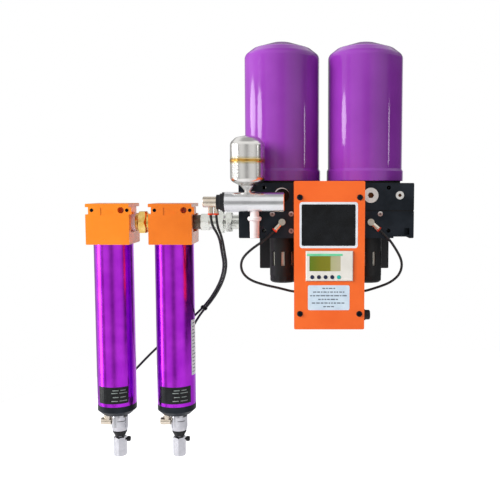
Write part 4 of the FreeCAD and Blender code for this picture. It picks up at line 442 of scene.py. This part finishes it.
FINISHES = {
    "wall_bracket": black_bracket,
    "manifold_top_block": black_anodised, "manifold_valve_block": black_anodised,
    "manifold_gasket": rubber, "port_plugs": plug_steel,
    "canister_left_shell": purple_enamel, "canister_right_shell": purple_enamel,
    "canister_base_plates": zinc_plated, "canister_gaskets": rubber, "canister_studs": zinc_plated,
    "desiccant_beds": beads, "muffler_left": muffler_plastic, "muffler_right": muffler_plastic,
    "muffler_caps": muffler_plastic, "muffler_cores": sintered,
    "control_box_tray": orange_box, "control_box_cover": orange_box, "cover_screws": black_oxide,
    "solenoid_valves": coil_plastic, "cable_gland": nylon,
    "controller_module": cream_plastic, "controller_screen": screen,
    "controller_button_1": navy_plastic, "controller_button_2": navy_plastic,
    "controller_button_3": navy_plastic, "controller_button_4": navy_plastic,
    "controller_button_5": teal_plastic,
    "pilot_elbows": nickel, "drain_elbows": nickel, "release_collars": red_plastic,
    "drain_cylinder": bare_aluminium, "drain_end_ring": nylon, "drain_spigot": nickel,
    "float_vessel": stainless, "condensate_outlet": white_plastic,
    "filter_left_head": amber_head, "filter_right_head": dark_amber_head,
    "filter_left_tube": purple_anodised, "filter_right_tube": purple_anodised,
    "drain_knob_left": nylon, "drain_knob_right": nylon, "head_screws": black_oxide,
    "filter_elements": filter_paper, "filter_end_caps": black_anodised, "filter_seals": rubber,
    "float_drain_bodies": chrome, "float_drain_collars": nylon, "drain_valves": chrome,
    "filter_elbows": nickel,
    "union_adapter": galvanised_iron, "union_nut": galvanised_iron, "union_tail": galvanised_iron,
    "pipe_nipple": black_pipe, "port_ring": sealing_plastic, "brass_union": brass,
    "pilot_tube_left": polyurethane, "pilot_tube_right": polyurethane,
    "drain_tube_left": polyurethane, "drain_tube_right": polyurethane, "tube_tie": nylon,
}
for name, finish in FINISHES.items():
    materials = nodes[name].data.materials
    materials.clear()
    materials.append(finish)


# Plates, lines and labels

def finish_mesh(name, made, finish):
    """Turns a bmesh into a piece that rides on the dryer."""
    mesh = bpy.data.meshes.new(name)
    bmesh.ops.recalc_face_normals(made, faces=made.faces)
    made.to_mesh(mesh)
    made.free()
    mesh.materials.append(finish)
    piece = add_to_scene(name, mesh)
    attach(piece, "dryer")


CORNER_STEPS = 6


def rounded_corners(width, height, corner):
    """Outline of a rectangle with round corners, about its centre."""
    points = []
    for turn, (side, up) in enumerate(((1, 1), (-1, 1), (-1, -1), (1, -1))):
        for step in range(CORNER_STEPS + 1):
            angle = math.radians(90 * turn + 90 * step / CORNER_STEPS)
            points.append((side * (width / 2 - corner) + corner * math.cos(angle),
                           up * (height / 2 - corner) + corner * math.sin(angle)))
    return points


def add_plate(made, x, z, width, height, corner, back, front):
    """Adds a flat plate that faces the front, from one depth to another."""
    points = rounded_corners(width, height, corner)
    rings = [[made.verts.new(((x + across) * MM, -depth * MM, (z + up) * MM)) for across, up in points]
             for depth in (back, front)]
    made.faces.new(rings[0])
    made.faces.new(rings[1])
    for first, second in zip(range(len(points)), [*range(1, len(points)), 0]):
        made.faces.new([rings[0][first], rings[0][second], rings[1][second], rings[1][first]])


def add_curved_plate(made, tube, lift, thickness, left, right, bottom, top, steps):
    """Adds a plate bent round a tube, which is given by its middle across, its depth and its radius.

    Left and right are degrees from straight ahead, and lift is how far the plate's back is off the tube.
    """
    x, depth, radius = tube
    inner = radius + lift
    outer = inner + thickness
    rings = []
    for step in range(steps + 1):
        angle = math.radians(left + (right - left) * step / steps)
        along, ahead = math.sin(angle), math.cos(angle)
        rings.append([
            made.verts.new(((x + reach * along) * MM, -(depth + reach * ahead) * MM, z * MM))
            for reach, z in ((inner, bottom), (outer, bottom), (outer, top), (inner, top))
        ])
    made.faces.new(rings[0])
    made.faces.new(rings[-1])
    for ring, following in zip(rings, rings[1:]):
        for corner in range(4):
            made.faces.new([ring[corner], ring[corner - 1], following[corner - 1], following[corner]])


def film(name, colour, dark, light, roughness=0.22):
    """Printed polyester film: a flat colour under a gloss that ripples a little, 7 mm from wave to wave."""
    # Polyester is nearer 1.6, and 1.38 gives the faint gloss that these show
    made, tree, shader, place = start(name, colour, IOR=1.38)
    mottle(tree, shader, place, 15 * MM, dark, light)
    relief(tree, shader, place, 7 * MM, 0.03 * MM)
    uneven_gloss(tree, shader, place, 12 * MM, roughness, roughness + 0.08)
    return made


# Bare plates on the cover and the tubes: a clean, half-glossy black
black_film = film("black_polyester_film", "#0C0D10", "#090A0C", "#141619")
# Border of the cover's plate and the narrow label: a cool white
white_film = film("white_polyester_film", "#E8ECF0", "#E0E5EA", "#F0F3F6")
# Notice plate: a faint blue
pale_film = film("pale_blue_polyester_film", "#D2E2EE", "#CADBE8", "#DAE9F3")
# Stripe over the display: mint green
green_film = film("green_polyester_film", "#6FD6A0", "#68CE98", "#78DEAA")
# Lines on the pale labels: slate grey, without gloss
grey_ink = film("grey_ink", "#5E6873", "#57616C", "#68737F", 0.5)
# Lines on the black plates: grey-green, without gloss
pale_ink = film("pale_ink", "#8D9692", "#828B87", "#98A19D", 0.5)


def in_mm(length):
    """A length of the frame in millimetres, to a hundredth."""
    return round(length / MM, 2)


def front_of(name):
    """How far a node's front is from the wall."""
    return in_mm(-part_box(name)[0][1])


def tube_of(name):
    """Middle across, depth and radius of an upright round node."""
    low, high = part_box(name)
    return in_mm((low[0] + high[0]) / 2), in_mm(-(low[1] + high[1]) / 2), in_mm((high[0] - low[0]) / 2)


COVER_FACE = front_of("control_box_cover")
MODULE_FACE = front_of("controller_module")
FILTER_TUBES = {side: tube_of(f"filter_{side}_tube") for side in ("left", "right")}
FILM_THICKNESS = 0.2
THIN_FILM = 0.15
INK_THICKNESS = 0.04

# On the cover and the controller: middle across, middle up, width, height and corner radius
COVER_BORDER = (1.9, -22.2, 87.6, 69.3, 4.0)
COVER_PLATE = (1.7, -22.2, 81.0, 62.4, 2.2)
NOTICE = (2.2, -132.3, 63.1, 38.1, 2.5)
STRIPE = (-3.9, -66.8, 53.8, 3.3, 0.3)
STRIPE_THICKNESS = 0.1

# The notice's rows, from the top, and the dashes in them
ROW_WIDTHS = (19.3, 47.5, 56.4, 31.9, 51.2, 16.3)
FIRST_ROW, ROW_SPACING = -118.0, 5.6
SHORTEST_DASH, LONGEST_DASH, DASH_GAP = 2.4, 7.5, 1.2
DASH_HEIGHT, DASH_CORNER, LEAST_ROOM = 1.7, 0.4, 1.5

# The tubes' black plates: degrees from straight ahead, and their dashes, which differ in every second row
PLATE_TURNS = {"left": (-47, 49), "right": (-47, 56)}
PLATE_BOTTOM, PLATE_TOP = -326.0, -297.5
PLATE_ROWS = (-303.0, -307.5, -314.5, -321.0)
PLATE_DASHES = (((2, 19), (24, 40)), ((-2, 16), (21, 44)))
HALF_LINE = 0.7
# Steps in which plates, dashes and lines are bent round a tube
PLATE_STEPS, DASH_STEPS, SIDE_LINE_STEPS, MARK_STEPS = 14, 5, 4, 6

# The narrow label on the right tube's side
SIDE_TURNS = (62, 92)
SIDE_BOTTOM, SIDE_TOP = -281.0, -187.0
SIDE_ROWS, FIRST_SIDE_ROW, SIDE_ROW_SPACING = 15, -192.5, 5.9
SIDE_LINE_TURNS = (66, 88)
SHORTER_BY = 5

# The dark mark across each float drain
MARK_TURNS = (-2, 52)
MARK_BOTTOM, MARK_TOP, MARK_THICKNESS = -362.6, -361.5, 0.08


def cover_labels():
    """A black plate with a white border, and a pale notice plate below it."""
    made = bmesh.new()
    add_plate(made, *COVER_BORDER, COVER_FACE, COVER_FACE + THIN_FILM)
    finish_mesh("cover_plate_border", made, white_film)
    made = bmesh.new()
    add_plate(made, *COVER_PLATE, COVER_FACE + THIN_FILM, COVER_FACE + 2 * THIN_FILM)
    finish_mesh("cover_plate_face", made, black_film)
    made = bmesh.new()
    add_plate(made, *NOTICE, COVER_FACE, COVER_FACE + FILM_THICKNESS)
    finish_mesh("notice_plate", made, pale_film)


def ink_rows():
    """Rows of short grey dashes on the notice plate."""
    dashes = random.Random(7)
    back = COVER_FACE + FILM_THICKNESS
    made = bmesh.new()
    for row, width in enumerate(ROW_WIDTHS):
        z = FIRST_ROW - row * ROW_SPACING
        x = NOTICE[0] - width / 2
        end = NOTICE[0] + width / 2
        while x < end - LEAST_ROOM:
            length = min(dashes.uniform(SHORTEST_DASH, LONGEST_DASH), end - x)
            add_plate(made, x + length / 2, z, length, DASH_HEIGHT, DASH_CORNER, back, back + INK_THICKNESS)
            x += length + DASH_GAP
    finish_mesh("notice_lines", made, grey_ink)


def tube_labels():
    """A black plate with pale lines on each filter tube, and a narrow label on the right one's side."""
    for side, tube in FILTER_TUBES.items():
        made = bmesh.new()
        add_curved_plate(made, tube, 0, FILM_THICKNESS, *PLATE_TURNS[side],
                         PLATE_BOTTOM, PLATE_TOP, PLATE_STEPS)
        finish_mesh(f"filter_{side}_plate", made, black_film)
        made = bmesh.new()
        for row, z in enumerate(PLATE_ROWS):
            for turns in PLATE_DASHES[row % 2]:
                add_curved_plate(made, tube, FILM_THICKNESS, INK_THICKNESS, *turns,
                                 z - HALF_LINE, z + HALF_LINE, DASH_STEPS)
        finish_mesh(f"filter_{side}_plate_lines", made, pale_ink)
    tube = FILTER_TUBES["right"]
    made = bmesh.new()
    add_curved_plate(made, tube, 0, FILM_THICKNESS, *SIDE_TURNS, SIDE_BOTTOM, SIDE_TOP, PLATE_STEPS)
    finish_mesh("filter_side_label", made, white_film)
    made = bmesh.new()
    left, right = SIDE_LINE_TURNS
    for row in range(SIDE_ROWS):
        z = FIRST_SIDE_ROW - row * SIDE_ROW_SPACING
        shorter = row % 3 * SHORTER_BY
        add_curved_plate(made, tube, FILM_THICKNESS, INK_THICKNESS, left, right - shorter,
                         z - HALF_LINE, z + HALF_LINE, SIDE_LINE_STEPS)
    finish_mesh("filter_side_label_lines", made, grey_ink)


def float_drain_marks():
    """A short dark mark across the front of each float drain."""
    low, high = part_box("float_drain_bodies")
    radius = (high[1] - low[1]) / 2 / MM
    depth = -(high[1] + low[1]) / 2 / MM
    made = bmesh.new()
    for x in (low[0] / MM + radius, high[0] / MM - radius):
        add_curved_plate(made, (x, depth, radius), 0, MARK_THICKNESS, *MARK_TURNS,
                         MARK_BOTTOM, MARK_TOP, MARK_STEPS)
    finish_mesh("float_drain_marks", made, black_film)


def controller_stripe():
    """The green line over the controller's display."""
    made = bmesh.new()
    add_plate(made, *STRIPE, MODULE_FACE, MODULE_FACE + STRIPE_THICKNESS)
    finish_mesh("controller_stripe", made, green_film)


cover_labels()
ink_rows()
tube_labels()
float_drain_marks()
controller_stripe()


# Smooth shading on the CAD pieces, with every edge kept that turns by more than this

KEPT_EDGE = math.radians(28)

for piece in nodes.values():
    for polygon in piece.data.polygons:
        polygon.use_smooth = True
    piece.data.set_sharp_from_angle(angle=KEPT_EDGE)


# Studio

FLOOR_PLACE = (0.25, 0.25, -0.62)
FLOOR_RADIUS = 1.35
# How much the camera sees the paper shine of itself
FLOOR_LIFT = 0.45


def studio_floor():
    """White paper on the ground: the eye sees it white, with the shadow left on it."""
    made = bmesh.new()
    bmesh.ops.create_circle(made, cap_ends=True, segments=96, radius=FLOOR_RADIUS)
    mesh = bpy.data.meshes.new("studio_floor")
    made.to_mesh(mesh)
    made.free()
    floor = add_to_scene("studio_floor", mesh)
    floor.location = FLOOR_PLACE
    finish, tree, shader, place = start("white_floor_paper", "#F4F4F4", Roughness=0.8, IOR=1.45)
    mottle(tree, shader, place, 400 * MM, "#F2F2F2", "#F6F6F6")
    shader.inputs["Emission Color"].default_value = linear("#FFFFFF")
    seen = node(tree, "ShaderNodeLightPath").outputs["Is Camera Ray"]
    lift = node(tree, "ShaderNodeMath", {"operation": "MULTIPLY", 1: FLOOR_LIFT}, {0: seen})
    tree.links.new(lift.outputs[0], shader.inputs["Emission Strength"])
    mesh.materials.append(finish)


def lamp(name, place, aim, width, height, power, shape="RECTANGLE", mirrored=True, lights=True):
    """Area lamp unseen by the camera; it may also be left out of reflections, or shine in them alone."""
    light = bpy.data.lights.new(name, "AREA")
    light.shape = shape
    light.size = width
    light.size_y = height
    light.energy = power
    item = add_to_scene(name, light)
    item.location = place
    item.rotation_euler = (Vector(aim) - Vector(place)).to_track_quat("-Z", "Y").to_euler()
    item.visible_camera = False
    item.visible_glossy = mirrored
    item.visible_diffuse = lights


# Light that falls evenly from all sides and shades nothing
EVEN_LIGHT = "#B7B7BA"
# What polished metal mirrors at eye level: degrees from the front, to the right, and brightness
HORIZON = [
    (-180, 0.5), (-150, 0.35), (-125, 0.45), (-112, 0.9), (-70, 0.9), (-62, 0.5), (-54, 0.3), (-46, 0.8),
    (-20, 0.72), (-7, 0.4), (-2, 0.34), (5, 0.34), (10, 0.5), (19, 0.72), (46, 0.78), (60, 0.6),
    (68, 0.25), (75, 0.08), (140, 0.08), (152, 0.6), (163, 0.95), (180, 0.95),
]
# The same from some way above eye level: a dark wall behind, white in front
ABOVE = [(-180, 0.25), (-140, 0.25), (-100, 0.9), (100, 0.9), (140, 0.25), (180, 0.25)]
# The same by height alone, from straight down at -1 to straight up at 1
OVERHEAD = [(-1.0, 0.7), (0.5, 0.95), (0.84, 0.95), (0.93, 0.42), (1.0, 0.42)]
# The heights, from -1 to 1, between which each one fades in on the way down
ABOVE_FADES_IN = (0.55, 0.42)
HORIZON_FADES_IN = (0.26, 0.16)
GROUND_FADES_IN = (-0.34, -0.5)


def brightness(tree, source, stops):
    """Greys by a value, each stop with its value and brightness."""
    lowest, highest = stops[0][0], stops[-1][0]
    share = node(tree, "ShaderNodeMapRange", {"From Min": lowest, "From Max": highest}, {"Value": source})
    greys = [((at - lowest) / (highest - lowest), (level, level, level, 1.0)) for at, level in stops]
    ramp = node(tree, "ShaderNodeValToRGB", {"stops": greys}, {"Fac": share.outputs["Result"]})
    return ramp.outputs["Color"]


def studio_world():
    """White behind the part, even light for colours, and a room with dark gaps for reflections."""
    world = bpy.data.worlds.new("studio")
    bpy.context.scene.world = world
    world.use_nodes = True
    tree = world.node_tree
    background = tree.nodes["Background"]
    rays = node(tree, "ShaderNodeLightPath")
    direction = node(tree, "ShaderNodeTexCoord").outputs["Generated"]
    axes = node(tree, "ShaderNodeSeparateXYZ", links={"Vector": direction})
    height = axes.outputs["Z"]
    ahead = node(tree, "ShaderNodeMath", {"operation": "MULTIPLY", 1: -1.0}, {0: axes.outputs["Y"]})
    angle = node(tree, "ShaderNodeMath", {"operation": "ARCTAN2"},
                 {0: axes.outputs["X"], 1: ahead.outputs[0]})
    bearing = node(tree, "ShaderNodeMath", {"operation": "DEGREES"}, {0: angle.outputs[0]}).outputs[0]
    room = brightness(tree, height, OVERHEAD)
    layers = (
        (ABOVE_FADES_IN, bearing, ABOVE),
        (HORIZON_FADES_IN, bearing, HORIZON),
        (GROUND_FADES_IN, height, OVERHEAD),
    )
    for (first, last), source, stops in layers:
        share = node(tree, "ShaderNodeMapRange", {"From Min": first, "From Max": last}, {"Value": height})
        ring = brightness(tree, source, stops)
        room = node(tree, "ShaderNodeMixRGB",
                    links={"Fac": share.outputs["Result"], "Color1": room, "Color2": ring}).outputs[0]
    mirrored = node(tree, "ShaderNodeMath", {"operation": "MAXIMUM"},
                    {0: rays.outputs["Is Glossy Ray"], 1: rays.outputs["Is Transmission Ray"]})
    lit = node(tree, "ShaderNodeMixRGB", {"Color1": linear(EVEN_LIGHT)},
               {"Fac": mirrored.outputs[0], "Color2": room})
    shown = node(tree, "ShaderNodeMixRGB", {"Color2": linear("#FFFFFF")},
                 {"Fac": rays.outputs["Is Camera Ray"], "Color1": lit.outputs[0]})
    tree.links.new(shown.outputs[0], background.inputs["Color"])
    background.inputs["Strength"].default_value = 1.0


studio_floor()
studio_world()
# The spot between the canisters that the windows face
CANISTERS = (-0.1, -0.06, 0.15)
# Soft light from the upper left, which shades the colours and isn't mirrored
lamp("key_softbox", (-2.3, -1.3, 1.1), (-0.1, 0, 0), width=1.4, height=1.4, power=88.0, mirrored=False)
# Two windows at the left, seen as the pair of pale streaks down each canister
lamp("left_window_rear", (-1.86, 0.2, 0.35), CANISTERS, width=0.8, height=0.25, power=2.6, shape="ELLIPSE")
lamp("left_window_front", (-1.8, -0.7, 0.33), CANISTERS, width=0.55, height=0.22, power=2.2, shape="ELLIPSE")
# A lower window, seen in reflections alone, on the filter tubes and the float drains
lamp("left_window_low", (-1.09, -0.19, -0.28), (-0.3, -0.06, -0.28),
     width=0.2, height=0.46, power=1.2, lights=False)
# A narrow gap at the right, seen as the thin streak on the canisters' right sides
lamp("right_gap", (1.6, -0.56, 0.24), (0, -0.06, 0.1), width=0.1, height=0.22, power=0.45)
bpy.context.scene.view_settings.view_transform = "Standard"
